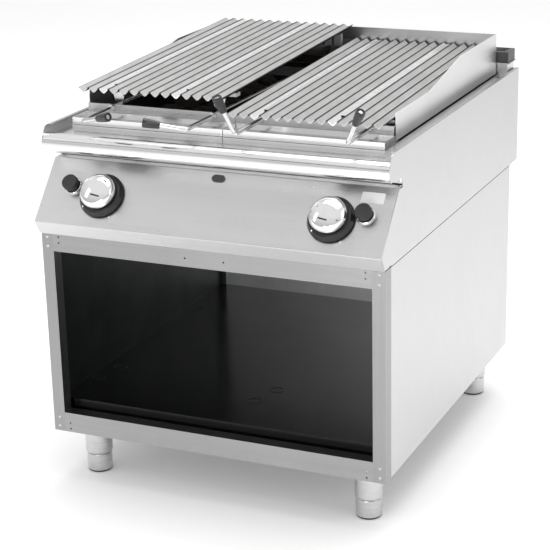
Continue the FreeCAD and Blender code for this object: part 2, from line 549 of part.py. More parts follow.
def lever(xs, arm, raised, sign):
    """Shaft, crank and two cams. sign +1: turning the arm towards +X raises."""
    a = math.radians(arm)
    ax, az = math.sin(a), math.cos(a)
    lean = math.radians(ARM_LEAN)
    d = V(ax * math.cos(lean), -math.sin(lean), az * math.cos(lean))
    R = 17.0
    turn = math.acos(math.sin(lean))                # bend of the rod, 70 degrees
    tl = R * math.tan(turn / 2)
    corner = V(xs, Y_CRANK, Z_SHAFT)
    p0 = V(xs, 816.0, Z_SHAFT)
    p1 = corner + V(0, tl, 0)
    p2 = corner + d * tl
    inward = (V(0, 1, 0) + d)
    inward.normalize()
    pm = corner + inward * (R / math.cos(turn / 2) - R)
    p3 = corner + d * 60.0
    w = Part.Wire([Part.LineSegment(p0, p1).toShape(), Part.Arc(p1, pm, p2).toShape(), Part.LineSegment(p2, p3).toShape()])
    prof = Part.Wire(Part.Circle(p0, V(0, -1, 0), ROD_R).toShape())
    rod = w.makePipeShell([prof], True, False)
    collar_ring = cyl((xs, Y_UP - 6.5, Z_SHAFT), (0, 1, 0), 8.2, 5.5)
    if isinstance(rod, Part.Shell):
        rod = Part.Solid(rod)
    # cam: its support rises by A_CAM per radian of turn
    up_raised = 0.0
    pts = []
    n = 34
    lo = 7.0 - 0.3
    for i in range(n + 1):
        phi = math.radians(TRAVEL) * i / n
        p = lo + A_CAM * phi
        # direction phi in the cam frame, counter-clockwise from the low direction
        u = (math.cos(phi), math.sin(phi)); v = (-math.sin(phi), math.cos(phi))
        pts.append((p * u[0] + A_CAM * v[0], p * u[1] + A_CAM * v[1]))
    hub = [(6.5 * math.cos(math.radians(t)), 6.5 * math.sin(math.radians(t))) for t in range(150, 361, 15)]
    allp = pts + hub
    # convex hull
    allp = sorted(set((round(p[0], 5), round(p[1], 5)) for p in allp))

    def half(ps):
        h = []
        for p in ps:
            while len(h) > 1 and (h[-1][0] - h[-2][0]) * (p[1] - h[-2][1]) - (h[-1][1] - h[-2][1]) * (p[0] - h[-2][0]) <= 0:
                h.pop()
            h.append(p)
        return h
    lower = half(allp); upper = half(allp[::-1])
    hull = lower[:-1] + upper[:-1]
    # in the cam frame the 'up' vector is at angle phi; place it so that up = direction phi0 at rest
    phi0 = math.radians(TRAVEL) if raised else 0.0
    world = []
    for (cx, cz) in hull:
        # rotate so that direction phi0 points up (+z), x to the right; (u along up)
        ang = -phi0
        ux = cx * math.cos(ang) - cz * math.sin(ang)
        uz = cx * math.sin(ang) + cz * math.cos(ang)
        # cam-frame x axis -> world +z, cam-frame y axis -> world -x (counter-clockwise seen from the front)
        wx, wz = -uz, ux
        if sign < 0:
            wx = -wx
        world.append((wx, wz))
    cams = []
    for (ya, yb) in CAM_Y:
        poly = [V(xs + px, ya, Z_SHAFT + pz) for px, pz in world]
        cams.append(Part.Face(Part.makePolygon(poly + poly[:1])).extrude(V(0, yb - ya, 0)))
    return rod.fuse(cams + [collar_ring])


def grip(xs, arm):
    P = lambda r, h: V(r, 0, h)
    e = [Part.LineSegment(P(0, 60.1), P(0, 91.0)).toShape(),
         Part.LineSegment(P(0, 91.0), P(8.2, 91.0)).toShape(),
         Part.Arc(P(8.2, 91.0), P(9.9, 90.1), P(10.4, 88.0)).toShape(),
         Part.Arc(P(10.4, 88.0), P(9.7, 72.0), P(7.7, 55.6)).toShape(),
         Part.Arc(P(7.7, 55.6), P(7.2, 54.4), P(6.2, 54.0)).toShape(),
         Part.LineSegment(P(6.2, 54.0), P(ROD_R + 0.02, 54.0)).toShape(),
         Part.LineSegment(P(ROD_R + 0.02, 54.0), P(ROD_R + 0.02, 60.1)).toShape(),
         Part.LineSegment(P(ROD_R + 0.02, 60.1), P(0, 60.1)).toShape()]
    s = revolve_edges(e)
    s.rotate(V(0, 0, 0), V(1, 0, 0), ARM_LEAN)
    s.rotate(V(0, 0, 0), V(0, 1, 0), arm)
    s.translate(V(xs, Y_CRANK, Z_SHAFT))
    return s


LEV = ((SHAFT_X[0], ARM_REST[0], True, 1), (SHAFT_X[1], ARM_REST[1], True, -1), (SHAFT_X[2], ARM_REST[2], False, 1), (SHAFT_X[3], ARM_REST[3], False, -1))
for i, (xs, arm, rs, sg) in enumerate(LEV):
    ship("lift_lever_%d" % (i + 1), lever(xs, arm, rs, sg))
    ship("lever_grip_%d" % (i + 1), grip(xs, arm))

# rear bearing straps of the lever shafts
straps = []
for x0, sh in ((FUEL_X0[0], SHAFT_X[:2]), (FUEL_X0[1], SHAFT_X[2:])):
    a, b = x0 + 2.2, x0 + FUEL_W - 2.2
    s = box(a, b, 808, 811, FB_Z1 - 30, Z_UP + 1)
    s = s.cut(box(a + 26, b - 26, 800, 820, FB_Z1 - 31, Z_SHAFT - 11))
    for x in sh:
        s = s.cut(cyl((x, 800, Z_SHAFT), (0, 1, 0), ROD_R + 0.06, 20))
    straps.append(s)
ship("shaft_straps", group(straps))

# ---------------------------------------------------------------- fireboxes
def firebox(x0):
    x1 = x0 + FUEL_W
    s = box(x0, x1, FB_Y0, FB_Y1, FB_Z0, FB_Z1)
    s = s.cut(box(x0 + 2, x1 - 2, FB_Y0 + 2, FB_Y1 - 2, FB_Z0 + 2, FB_Z1 + 1))
    s = s.cut(box(x0 + 60, x1 - 60, FB_Y1 - 5, FB_Y1 + 5, 772, 796))      # flue port
    for k in range(4):                                                     # primary air slots
        s = s.cut(box(x0 + 60 + 60 * k, x0 + 100 + 60 * k, FB_Y0 + 40, FB_Y0 + 52, FB_Z0 - 1, FB_Z0 + 3))
    s = s.cut(cyl((x0 + FUEL_W / 2 - 40, FB_Y0 - 5, 700), (0, 1, 0), 20.0, 12))
    return s


ship("firebox_left", firebox(FUEL_X0[0]))
ship("firebox_right", firebox(FUEL_X0[1]))


def burner(x0):
    xc = x0 + FUEL_W / 2
    r = 18.0
    ya, yb = FB_Y0 - 22.0, 800.0
    wire = Part.Wire([Part.LineSegment(V(xc - 40, ya, 700), V(xc - 40, yb - 40, 700)).toShape(),
                      Part.Arc(V(xc - 40, yb - 40, 700), V(xc, yb, 700), V(xc + 40, yb - 40, 700)).toShape(),
                      Part.LineSegment(V(xc + 40, yb - 40, 700), V(xc + 40, 240, 700)).toShape()])
    o = wire.makePipeShell([Part.Wire(Part.Circle(V(xc - 40, ya, 700), V(0, 1, 0), r).toShape())], True, False)
    i = wire.makePipeShell([Part.Wire(Part.Circle(V(xc - 40, ya, 700), V(0, 1, 0), r - 1.5).toShape())], True, False)
    cap = cyl((xc + 40, 238, 700), (0, 1, 0), r, 3)
    return o.cut(i).fuse(cap).removeSplitter()


ship("burners", group([burner(x) for x in FUEL_X0]))

grids = []
for x0 in FUEL_X0:
    rods = [box(x0 + 3, x0 + FUEL_W - 3, y, y + 8, 724, 732) for y in (240.0, 520.0, 820.0)]
    n = 12
    for k in range(n):
        x = x0 + 14 + k * (FUEL_W - 28) / (n - 1)
        rods.append(box(x - 3, x + 3, FB_Y0 + 12, FB_Y1 - 12, 732, 738))
    s = rods[0].fuse(rods[1:]).removeSplitter()
    grids.append(s)
ship("lava_grids", group(grids))

# lava rock, a loose bed of separate stones
rnd = random.Random(7)
PHI = (1 + 5 ** 0.5) / 2
ICO_V = [(-1, PHI, 0), (1, PHI, 0), (-1, -PHI, 0), (1, -PHI, 0), (0, -1, PHI), (0, 1, PHI), (0, -1, -PHI), (0, 1, -PHI), (PHI, 0, -1), (PHI, 0, 1), (-PHI, 0, -1), (-PHI, 0, 1)]
ICO_F = [(0, 11, 5), (0, 5, 1), (0, 1, 7), (0, 7, 10), (0, 10, 11), (1, 5, 9), (5, 11, 4), (11, 10, 2), (10, 7, 6), (7, 1, 8), (3, 9, 4), (3, 4, 2), (3, 2, 6), (3, 6, 8), (3, 8, 9), (4, 9, 5), (2, 4, 11), (6, 2, 10), (8, 6, 7), (9, 8, 1)]


def stone(cx, cy, cz, rx, ry, rz):
    ll = math.sqrt(1 + PHI * PHI)
    vs = []
    for (a, b, c) in ICO_V:
        k = rnd.uniform(0.86, 1.0) / ll
        vs.append(V(cx + a * k * rx, cy + b * k * ry, cz + c * k * rz))
    faces = [Part.Face(Part.makePolygon([vs[i], vs[j], vs[k], vs[i]])) for i, j, k in ICO_F]
    return Part.Solid(Part.Shell(faces))


stones = []
for x0 in FUEL_X0:
    for r in range(9):
        for c in range(4):
            cx = x0 + 2 + (c + 0.5) * (FUEL_W - 4) / 4
            cy = FB_Y0 + 16 + (r + 0.5) * (FB_Y1 - FB_Y0 - 32) / 9
            stones.append(stone(cx + rnd.uniform(-2, 2), cy + rnd.uniform(-2, 2), 761.0 + rnd.uniform(0, 2), rnd.uniform(33, 39), rnd.uniform(30, 34), 22.0))
ship("lava_stones", group(stones))

# ---------------------------------------------------------------- gas train
parts_v = []
for x in KNOB_X:
    b = Part.makeCylinder(13.0, 26.0, V(0, 0, -48)).fuse([Part.makeBox(34, 34, 30, V(-17, -17, -72)), Part.makeCylinder(9.0, 18, V(0, 0, -25))])
    b = b.cut(Part.makeCylinder(5.12, 60, V(0, 0, -24)))
    b = b.removeSplitter()
    parts_v.append(to_panel(b, x, KNOB_Z))
ship("gas_valves", group(parts_v))

MY, MZ, MR = 118.0, 618.0, 10.5
ell = Part.Wire([Part.LineSegment(V(60, MY, MZ), V(GAS[0] - 30, MY, MZ)).toShape(),
                 Part.Arc(V(GAS[0] - 30, MY, MZ), V(GAS[0] - 30 + 30 * math.sin(math.pi / 4), MY + 30 * (1 - math.cos(math.pi / 4)), MZ), V(GAS[0], MY + 30, MZ)).toShape(),
                 Part.LineSegment(V(GAS[0], MY + 30, MZ), V(GAS[0], GAS[1] - 30, MZ)).toShape(),
                 Part.Arc(V(GAS[0], GAS[1] - 30, MZ), V(GAS[0], GAS[1] - 30 + 30 * math.sin(math.pi / 4), MZ - 30 * (1 - math.cos(math.pi / 4))), V(GAS[0], GAS[1], MZ - 30)).toShape(),
                 Part.LineSegment(V(GAS[0], GAS[1], MZ - 30), V(GAS[0], GAS[1], 556)).toShape()])
pipe = ell.makePipeShell([Part.Wire(Part.Circle(V(60, MY, MZ), V(1, 0, 0), MR).toShape())], True, False)
ship("gas_manifold", pipe)

# injectors and feed tubes from each valve to its burner
inj = []
for x0, kx in zip(FUEL_X0, KNOB_X):
    xc = x0 + FUEL_W / 2 - 40
    s = cyl((xc, FB_Y0 - 52, 700), (0, 1, 0), 7.0, 20).fuse(cyl((xc, FB_Y0 - 33, 700), (0, 1, 0), 4.0, 8)).removeSplitter()
    inj.append(s)
ship("injectors", group(inj))

# pilot burner, spark electrode and thermocouple of each module on one bracket
pil = []
for x0 in FUEL_X0:
    xc = x0 + FUEL_W / 2
    s = box(xc - 16, xc + 16, FB_Y0 + 2.2, FB_Y0 + 5.2, 690, 716)
    s = s.fuse([cyl((xc - 9, FB_Y0 + 4, 700), (0, 1, 0), 4.5, 22), cyl((xc + 1, FB_Y0 + 4, 704), (0, 1, 0), 2.2, 26), cyl((xc + 10, FB_Y0 + 4, 702), (0, 1, 0), 3.0, 30)])
    pil.append(s.removeSplitter())
ship("pilots", group(pil))

# ---------------------------------------------------------------- flue
fy0, fy1 = 886.5, 940.0
duct = box(12, W - 12, fy0, fy1, 700, 838).cut(box(13.5, W - 13.5, fy0 + T, fy1 - T, 690, 850))
duct = duct.fuse(box(6, W - 6, 883.0, 943.0, 836.5, 838.5).cut(box(13.5, W - 13.5, fy0 + T, fy1 - T, 800, 850)))
for x0 in FUEL_X0:
    duct = duct.cut(box(x0 + 60, x0 + FUEL_W - 60, fy0 - 5, fy0 + 5, 772, 796))
duct = duct.removeSplitter()
ship("flue_duct", duct)

gz0, gz1 = 839.0, 866.0
gri = box(10, W - 10, 885.0, 941.0, gz0, gz1)
gri = gri.makeFillet(3.0, [e for e in gri.Edges if abs(e.Length - (W - 20)) < 1e-6 and e.CenterOfMass.z > gz1 - 1])
gri = gri.cut(box(15, W - 15, 890.0, 936.0, gz0 - 1, gz1 - 8))
n = 5
wseg = (W - 20 - 12) / n
for k in range(n):
    xa = 16 + k * wseg
    for yy in (893.0, 908.5, 924.0):
        gri = gri.cut(box(xa + 4, xa + wseg - 4, yy, yy + 9.5, gz1 - 9, gz1 + 1))
ship("flue_grille", gri)

# panel end screws and rear panel screws
for x in (9.0, W - 9.0):
    heads.append(cyl((x, 101.9, PT[1] + 8.6), (0, -1, 0), 3.4, 2.2))
for x in (30.0, 215.0, 400.0, 585.0, 770.0):
    for z in (612.0, 800.0):
        heads.append(cyl((x, Y_REAR + 0.02, z), (0, 1, 0), 4.0, 1.6))
    for z in (135.0, 565.0):
        heads.append(cyl((x, Y_CAB + 0.02, z), (0, 1, 0), 4.0, 1.6))
ship("screws", group(heads))

bb = None
for s in made.values():
    bb = s.BoundBox if bb is None else bb.united(s.BoundBox)
print("nodes", len(made), "bbox", [round(v, 2) for v in (bb.XMin, bb.XMax, bb.YMin, bb.YMax, bb.ZMin, bb.ZMax)], "y centre", round((bb.YMin + bb.YMax) / 2 + Y_ORIGIN, 3))
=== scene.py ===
import json
import math
import random

import bpy
import bmesh
from mathutils import Matrix, Vector, noise
from mathutils.bvhtree import BVHTree

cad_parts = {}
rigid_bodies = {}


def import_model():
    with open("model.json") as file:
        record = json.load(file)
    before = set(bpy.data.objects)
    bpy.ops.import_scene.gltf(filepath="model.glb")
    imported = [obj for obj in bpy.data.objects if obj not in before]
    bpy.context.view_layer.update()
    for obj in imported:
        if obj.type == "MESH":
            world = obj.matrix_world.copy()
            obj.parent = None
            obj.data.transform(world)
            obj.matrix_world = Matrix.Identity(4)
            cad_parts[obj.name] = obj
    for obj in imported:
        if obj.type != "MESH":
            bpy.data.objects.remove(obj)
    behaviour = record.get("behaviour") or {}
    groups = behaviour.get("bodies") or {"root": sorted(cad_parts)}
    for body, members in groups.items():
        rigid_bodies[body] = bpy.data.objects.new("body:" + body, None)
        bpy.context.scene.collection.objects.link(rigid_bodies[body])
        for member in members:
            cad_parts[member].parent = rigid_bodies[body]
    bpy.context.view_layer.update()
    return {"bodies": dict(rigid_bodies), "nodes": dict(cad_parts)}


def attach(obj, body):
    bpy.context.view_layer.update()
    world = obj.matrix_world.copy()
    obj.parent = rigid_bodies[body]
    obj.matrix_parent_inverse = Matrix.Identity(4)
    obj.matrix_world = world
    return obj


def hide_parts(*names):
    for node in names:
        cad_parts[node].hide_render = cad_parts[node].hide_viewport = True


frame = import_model()
SC = bpy.context.scene
NODES = frame["nodes"]

# ------------------------------------------------------------------ camera
CAM_AT = (1.5038, -3.4454, 1.6510)
YAW, PITCH, ROLL, FOCAL_PX = 0.4233, 0.3235, -0.0241, 1672.86
fwd = Vector((-math.sin(YAW), math.cos(YAW), 0.0))
right = Vector((math.cos(YAW), math.sin(YAW), 0.0))
up = Vector((0.0, 0.0, 1.0))
fwd2 = fwd * math.cos(PITCH) - up * math.sin(PITCH)
up2 = up * math.cos(PITCH) + fwd * math.sin(PITCH)
r2 = right * math.cos(ROLL) + up2 * math.sin(ROLL)
u2 = up2 * math.cos(ROLL) - right * math.sin(ROLL)
cam_data = bpy.data.cameras.new("camera")
cam_data.sensor_fit = "HORIZONTAL"
cam_data.sensor_width = 36.0
cam_data.lens = 36.0 * FOCAL_PX / 550.0
cam_data.clip_start = 0.05
cam_data.clip_end = 200.0
cam = bpy.data.objects.new("camera", cam_data)
cam.matrix_world = Matrix((
    (r2.x, u2.x, -fwd2.x, CAM_AT[0]),
    (r2.y, u2.y, -fwd2.y, CAM_AT[1]),
    (r2.z, u2.z, -fwd2.z, CAM_AT[2]),
    (0.0, 0.0, 0.0, 1.0)))
SC.collection.objects.link(cam)
SC.camera = cam

# ------------------------------------------------------------------ node helpers


class Mat:
    """A material being built: keeps its tree, the shader and a few shorthands."""

    def __init__(self, name, metallic=0.0, rough=0.5, color=(0.5, 0.5, 0.5)):
        self.m = bpy.data.materials.new(name)
        self.m.use_nodes = True
        self.nt = self.m.node_tree
        self.nt.nodes.clear()
        self.out = self.nt.nodes.new("ShaderNodeOutputMaterial")
        self.b = self.nt.nodes.new("ShaderNodeBsdfPrincipled")
        self.nt.links.new(self.b.outputs[0], self.out.inputs[0])
        self.b.inputs["Metallic"].default_value = metallic
        self.b.inputs["Roughness"].default_value = rough
        self.b.inputs["Base Color"].default_value = (*color, 1.0)
        self.tc = self.nt.nodes.new("ShaderNodeTexCoord")

    def node(self, kind, **props):
        n = self.nt.nodes.new(kind)
        for k, v in props.items():
            setattr(n, k, v)
        return n

    def link(self, a, b):
        self.nt.links.new(a, b)

    def mapped(self, scale=(1, 1, 1), rot=(0, 0, 0), loc=(0, 0, 0)):
        n = self.node("ShaderNodeMapping")
        n.inputs["Scale"].default_value = scale
        n.inputs["Rotation"].default_value = rot
        n.inputs["Location"].default_value = loc
        self.link(self.tc.outputs["Object"], n.inputs["Vector"])
        return n.outputs[0]

    def noise(self, vec, scale=1.0, detail=2.0, rough=0.5, dist=0.0):
        n = self.node("ShaderNodeTexNoise")
        n.inputs["Scale"].default_value = scale
        n.inputs["Detail"].default_value = detail
        n.inputs["Roughness"].default_value = rough
        n.inputs["Distortion"].default_value = dist
        self.link(vec, n.inputs["Vector"])
        return n.outputs["Fac"]

    def voronoi(self, vec, scale, feature="F1", rnd=1.0):
        n = self.node("ShaderNodeTexVoronoi", feature=feature)
        n.inputs["Scale"].default_value = scale
        n.inputs["Randomness"].default_value = rnd
        self.link(vec, n.inputs["Vector"])
        return n.outputs["Distance"]

    def math(self, op, a, b=None, c=None, clamp=False):
        n = self.node("ShaderNodeMath", operation=op, use_clamp=clamp)
        for i, v in enumerate((a, b, c)):
            if v is None:
                continue
            if isinstance(v, (int, float)):
                n.inputs[i].default_value = v
            else:
                self.link(v, n.inputs[i])
        return n.outputs[0]

    def span(self, fac, lo, hi, f0=0.0, f1=1.0, smooth=False):
        n = self.node("ShaderNodeMapRange")
        n.interpolation_type = "SMOOTHSTEP" if smooth else "LINEAR"
        n.inputs["From Min"].default_value = f0
        n.inputs["From Max"].default_value = f1
        n.inputs["To Min"].default_value = lo
        n.inputs["To Max"].default_value = hi
        self.link(fac, n.inputs["Value"])
        return n.outputs["Result"]

    def ramp(self, fac, stops, interp="LINEAR"):
        n = self.node("ShaderNodeValToRGB")
        cr = n.color_ramp
        cr.interpolation = interp
        while len(cr.elements) < len(stops):
            cr.elements.new(0.5)
        for e, (p, c) in zip(cr.elements, stops):
            e.position = p
            e.color = (*c, 1.0) if len(c) == 3 else c
        self.link(fac, n.inputs["Fac"])
        return n.outputs["Color"]

    def mixc(self, fac, a, b, mode="MIX"):
        n = self.node("ShaderNodeMix", data_type="RGBA", blend_type=mode)
        for sock, v in ((n.inputs[0], fac), (n.inputs[6], a), (n.inputs[7], b)):
            if isinstance(v, (int, float)):
                sock.default_value = v
            elif isinstance(v, (tuple, list)):
                sock.default_value = (*v, 1.0) if len(v) == 3 else v
            else:
                self.link(v, sock)
        return n.outputs[2]

    def bump(self, height, strength=0.2, dist=0.0005, prev=None):
        n = self.node("ShaderNodeBump")
        n.inputs["Strength"].default_value = strength
        n.inputs["Distance"].default_value = dist
        self.link(height, n.inputs["Height"])
        if prev is not None:
            self.link(prev, n.inputs["Normal"])
        self.link(n.outputs["Normal"], self.b.inputs["Normal"])
        return n.outputs["Normal"]

    def axis(self, i):
        """One coordinate of the place on the piece, in metres."""
        n = self.node("ShaderNodeSeparateXYZ")
        self.link(self.tc.outputs["Object"], n.inputs[0])
        return n.outputs[i]


def grey(v, warm=0.0):
    return (v * (1 + warm), v, v * (1 - warm))


AX = {"x": (1.0, 0, 0), "y": (0, 1.0, 0), "z": (0, 0, 1.0)}


def grain_scale(along, k, slow):
    s = [k, k, k]
    s["xyz".index(along)] = slow
    return tuple(s)


def steel(name, tone, rough, along="x", spread=0.06, tint=0.0, cloud=0.05, bump=0.12, fine=900.0, band=110.0, rvar=0.10,
          scratches=0.25):
    """Satin or brushed stainless sheet: grain drawn one way, faint bands, handling clouds and stray scratches."""
    k = Mat(name, metallic=1.0, rough=rough)
    f = k.noise(k.mapped(grain_scale(along, fine, fine * 0.006)), detail=3.0, rough=0.65)
    g = k.noise(k.mapped(grain_scale(along, band, band * 0.012), loc=(3.1, 1.7, 5.3)), detail=4.0, rough=0.6)
    c = k.noise(k.mapped((1, 1, 1)), scale=5.5, detail=3.0, rough=0.55, dist=0.4)
    both = k.math("MULTIPLY_ADD", f, 0.55, k.math("MULTIPLY", g, 0.45))
    lo, hi = max(tone - spread, 0.01), tone + spread
    col = k.ramp(both, ((0.30, grey(lo, tint)), (0.52, grey(tone, tint * 0.7)), (0.72, grey(hi, tint * 0.3))))
    shade = k.ramp(c, ((0.25, grey(1.0 - cloud)), (0.75, grey(1.0 + cloud * 0.5))))
    k.link(k.mixc(1.0, col, shade, "MULTIPLY"), k.b.inputs["Base Color"])
    # roughness: the grain, the clouds of handling, and a few wiped patches
    w = k.noise(k.mapped((1, 1, 1), loc=(7, 2, 4)), scale=14.0, detail=4.0, rough=0.6, dist=1.2)
    mixf = k.math("ADD", k.math("MULTIPLY", both, 0.5), k.math("ADD", k.math("MULTIPLY", c, 0.3), k.math("MULTIPLY", w, 0.2)))
    k.link(k.span(mixf, rough - rvar, rough + rvar, 0.32, 0.68), k.b.inputs["Roughness"])
    # bump: the grain, with some deeper stray scratches across it
    sc = k.voronoi(k.mapped(grain_scale(along, 60.0, 1.6), rot=(0.02, 0.03, 0.02)), 1.0, "DISTANCE_TO_EDGE")
    scr = k.span(sc, 0.0, 1.0, 0.0, 0.03)
    h = k.math("MULTIPLY_ADD", scr, scratches, both)
    k.bump(h, bump, 0.00012)
    return k


# ------------------------------------------------------------------ the metals
def m_outer():
    k = steel("outer_steel_brushed", 0.60, 0.33, "z", spread=0.022, cloud=0.04, bump=0.08)
    return k


def m_side(name, inner_sign):
    """Side sheet: brushed outside; the inside face of the cupboard is painted near black, as painted shade."""
    k = steel(name, 0.60, 0.34, "z", spread=0.022, cloud=0.04, bump=0.08)
    col = k.b.inputs["Base Color"].links[0].from_socket
    x = k.axis(0)
    inside = k.span(k.math("MULTIPLY", x, inner_sign), 0.0, 1.0, 0.3990, 0.3994)
    inside = k.math("SUBTRACT", 1.0, inside, clamp=True)
    # painted shade: the inside face gets a near-black colour, standing in for the shade inside the cupboard
    n = k.noise(k.mapped((1, 1, 1)), scale=8.0, detail=4.0)
    inner_shade_col = k.ramp(n, ((0.3, (0.080, 0.083, 0.088)), (0.7, (0.115, 0.118, 0.124))))
    k.link(k.mixc(inside, col, inner_shade_col), k.b.inputs["Base Color"])
    return k


def m_front():
    # painted shade: same stainless as the sides, given a darker base tone that stands in for darker reflections
    return steel("front_posts_satin", 0.34, 0.33, "z", spread=0.02, cloud=0.05, bump=0.08)


def m_rail():
    # painted shade: same stainless as the sides, given a darker base tone that stands in for darker reflections
    return steel("front_rail_satin", 0.36, 0.33, "x", spread=0.03, cloud=0.06, bump=0.10)


def m_panel():
    return steel("control_panel_satin", 0.66, 0.31, "x", spread=0.022, cloud=0.05, bump=0.08, band=90.0)


def m_top():
    return steel("worktop_satin", 0.86, 0.19, "x", spread=0.03, cloud=0.035, bump=0.06, rvar=0.07)


def m_tray():
    return steel("drip_tray_bright", 0.90, 0.15, "x", spread=0.03, cloud=0.04, bump=0.05, rvar=0.07)


def m_collar():
    return steel("hob_collar_bright", 0.82, 0.22, "x", spread=0.03, cloud=0.04, bump=0.06)


def m_splash():
    return steel("splash_satin", 0.80, 0.38, "y", spread=0.02, cloud=0.05, bump=0.09)


def m_splash_back():
    return steel("splash_back_satin", 0.76, 0.33, "x", spread=0.02, cloud=0.05, bump=0.09)


def m_liner_back():
    return steel("cabinet_back_satin", 0.88, 0.42, "z", spread=0.04, cloud=0.10, bump=0.10)


def m_liner_floor():
    # painted shade: the floor steel gets a very dark tone, standing in for the shade inside the cupboard
    k = steel("cabinet_floor_satin", 0.17, 0.20, "x", spread=0.02, cloud=0.12, bump=0.04, rvar=0.05)
    base = k.b.inputs["Base Color"].links[0].from_socket
    nrm = k.node("ShaderNodeSeparateXYZ")
    k.link(k.tc.outputs["Normal"], nrm.inputs[0])
    # painted shade: faces turned toward the front are painted near black
    front_face_shade = k.span(nrm.outputs[1], 1.0, 0.0, -0.9, -0.6)
    k.link(k.mixc(front_face_shade, base, grey(0.03)), k.b.inputs["Base Color"])
    return k


def m_galv(name, tone=0.42):
    """Galvanised sheet: soft spangle."""
    k = Mat(name, metallic=1.0, rough=0.42)
    v = k.node("ShaderNodeTexVoronoi")
    v.inputs["Scale"].default_value = 70.0
    k.link(k.tc.outputs["Object"], v.inputs["Vector"])
    bw = k.node("ShaderNodeSeparateColor")
    k.link(v.outputs["Color"], bw.inputs[0])
    n = k.noise(k.mapped((1, 1, 1)), scale=9.0, detail=5.0, rough=0.6)
    f = k.math("MULTIPLY_ADD", bw.outputs[0], 0.55, k.math("MULTIPLY", n, 0.45))
    k.link(k.ramp(f, ((0.2, grey(tone * 0.86)), (0.5, grey(tone)), (0.85, grey(tone * 1.12)))), k.b.inputs["Base Color"])
    k.link(k.span(f, 0.34, 0.56), k.b.inputs["Roughness"])
    k.bump(n, 0.10, 0.0003)
    return k


def m_grate():
    """Drawn channels: worn bright inside, painted shade (near black) on the faces turned downward and along the gaps
    between channels; two channels carry a polished strip painted near white, a painted highlight.
    """
    k = Mat("grate_channels", metallic=1.0, rough=0.42)
    f = k.noise(k.mapped((700, 5, 700)), detail=3.0, rough=0.6)
    g = k.noise(k.mapped((1, 1, 1)), scale=26.0, detail=5.0, rough=0.62)
    c = k.noise(k.mapped((1, 1, 1), loc=(2, 5, 1)), scale=4.0, detail=2.0)
    both = k.math("MULTIPLY_ADD", f, 0.45, k.math("MULTIPLY", g, 0.55))
    col = k.ramp(both, ((0.32, grey(0.56, 0.010)), (0.5, grey(0.61, 0.006)), (0.7, grey(0.66, 0.0))))
    sh = k.ramp(c, ((0.3, grey(0.95)), (0.7, grey(1.02))))
    col = k.mixc(1.0, col, sh, "MULTIPLY")
    # painted highlight strips: the third and tenth channel of each grate are painted near white (painted highlight) and
    # given lower roughness (real polish)
    x = k.axis(0)
    highlight_strip = None
    for xc in (220.5, 579.5):
        for i in (2, 9):
            at = (xc - 25.1 * 6.5 + i * 25.1 - 400.0) * 0.001
            d = k.math("ABSOLUTE", k.math("SUBTRACT", x, at))
            m = k.span(d, 1.0, 0.0, 0.0092, 0.0096)
            highlight_strip = m if highlight_strip is None else k.math("MAXIMUM", highlight_strip, m)
    nrm = k.node("ShaderNodeSeparateXYZ")
    k.link(k.tc.outputs["Normal"], nrm.inputs[0])
    highlight_strip = k.math("MULTIPLY", highlight_strip, k.span(nrm.outputs[2], 0.0, 1.0, -0.35, -0.15))
    col = k.mixc(highlight_strip, col, grey(0.99))
    # painted shade: faces turned downward get a near-black colour
    under = k.span(nrm.outputs[2], 1.0, 0.0, -0.35, -0.15)
    underside_shade = k.ramp(g, ((0.3, (0.030, 0.028, 0.027)), (0.7, (0.075, 0.070, 0.066))))
    # painted shade: a dark line along both lips of every channel, in the gaps between channels
    lip = None
    for xc in (220.5, 579.5):
        for i in range(14):
            at = (xc - 25.1 * 6.5 + i * 25.1 - 400.0) * 0.001
            d = k.math("ABSOLUTE", k.math("SUBTRACT", x, at))
            m = k.math("MULTIPLY", k.span(d, 0.0, 1.0, 0.0094, 0.0106), k.span(d, 1.0, 0.0, 0.0124, 0.0127))
            lip = m if lip is None else k.math("MAXIMUM", lip, m)
    col = k.mixc(lip, col, grey(0.10))
    k.link(k.mixc(under, col, underside_shade), k.b.inputs["Base Color"])
    r = k.span(both, 0.36, 0.55, 0.3, 0.7)
    k.link(k.math("SUBTRACT", r, k.math("MULTIPLY", highlight_strip, 0.20)), k.b.inputs["Roughness"])
    k.bump(both, 0.14, 0.0002)
    return k


def m_leg():
    """Turned tube and cup: rings of the tool, a black skid ring at the very bottom."""
    k = Mat("turned_steel_leg", metallic=1.0, rough=0.26)
    r = k.noise(k.mapped((14, 14, 1500)), detail=2.0, rough=0.5)
    c = k.noise(k.mapped((1, 1, 1)), scale=30.0, detail=4.0, rough=0.6)
    f = k.math("MULTIPLY_ADD", r, 0.6, k.math("MULTIPLY", c, 0.4))
    col = k.ramp(f, ((0.3, grey(0.52)), (0.5, grey(0.60)), (0.7, grey(0.66))))
    z = k.axis(2)
    ring = k.span(z, 1.0, 0.0, 0.0045, 0.0049)
    k.link(k.mixc(ring, col, grey(0.012)), k.b.inputs["Base Color"])
    k.link(k.math("SUBTRACT", 1.0, ring, clamp=True), k.b.inputs["Metallic"])
    k.link(k.math("ADD", k.span(f, 0.18, 0.34, 0.3, 0.7), k.math("MULTIPLY", ring, 0.25)), k.b.inputs["Roughness"])
    k.bump(r, 0.12, 0.0001)
    return k


def m_chrome(name, tone=0.86, rough=0.055, var=0.03):
    k = Mat(name, metallic=1.0, rough=rough)
    n = k.noise(k.mapped((1, 1, 1)), scale=55.0, detail=5.0, rough=0.6, dist=0.5)
    s = k.noise(k.mapped((1, 1, 1), loc=(4, 4, 9)), scale=420.0, detail=2.0)
    k.link(k.ramp(n, ((0.3, grey(tone - 0.03)), (0.7, grey(tone + 0.02)))), k.b.inputs["Base Color"])
    f = k.math("MULTIPLY_ADD", n, 0.7, k.math("MULTIPLY", s, 0.3))
    k.link(k.span(f, max(rough - var, 0.01), rough + var, 0.35, 0.68), k.b.inputs["Roughness"])
    k.bump(s, 0.02, 0.00005)
    return k


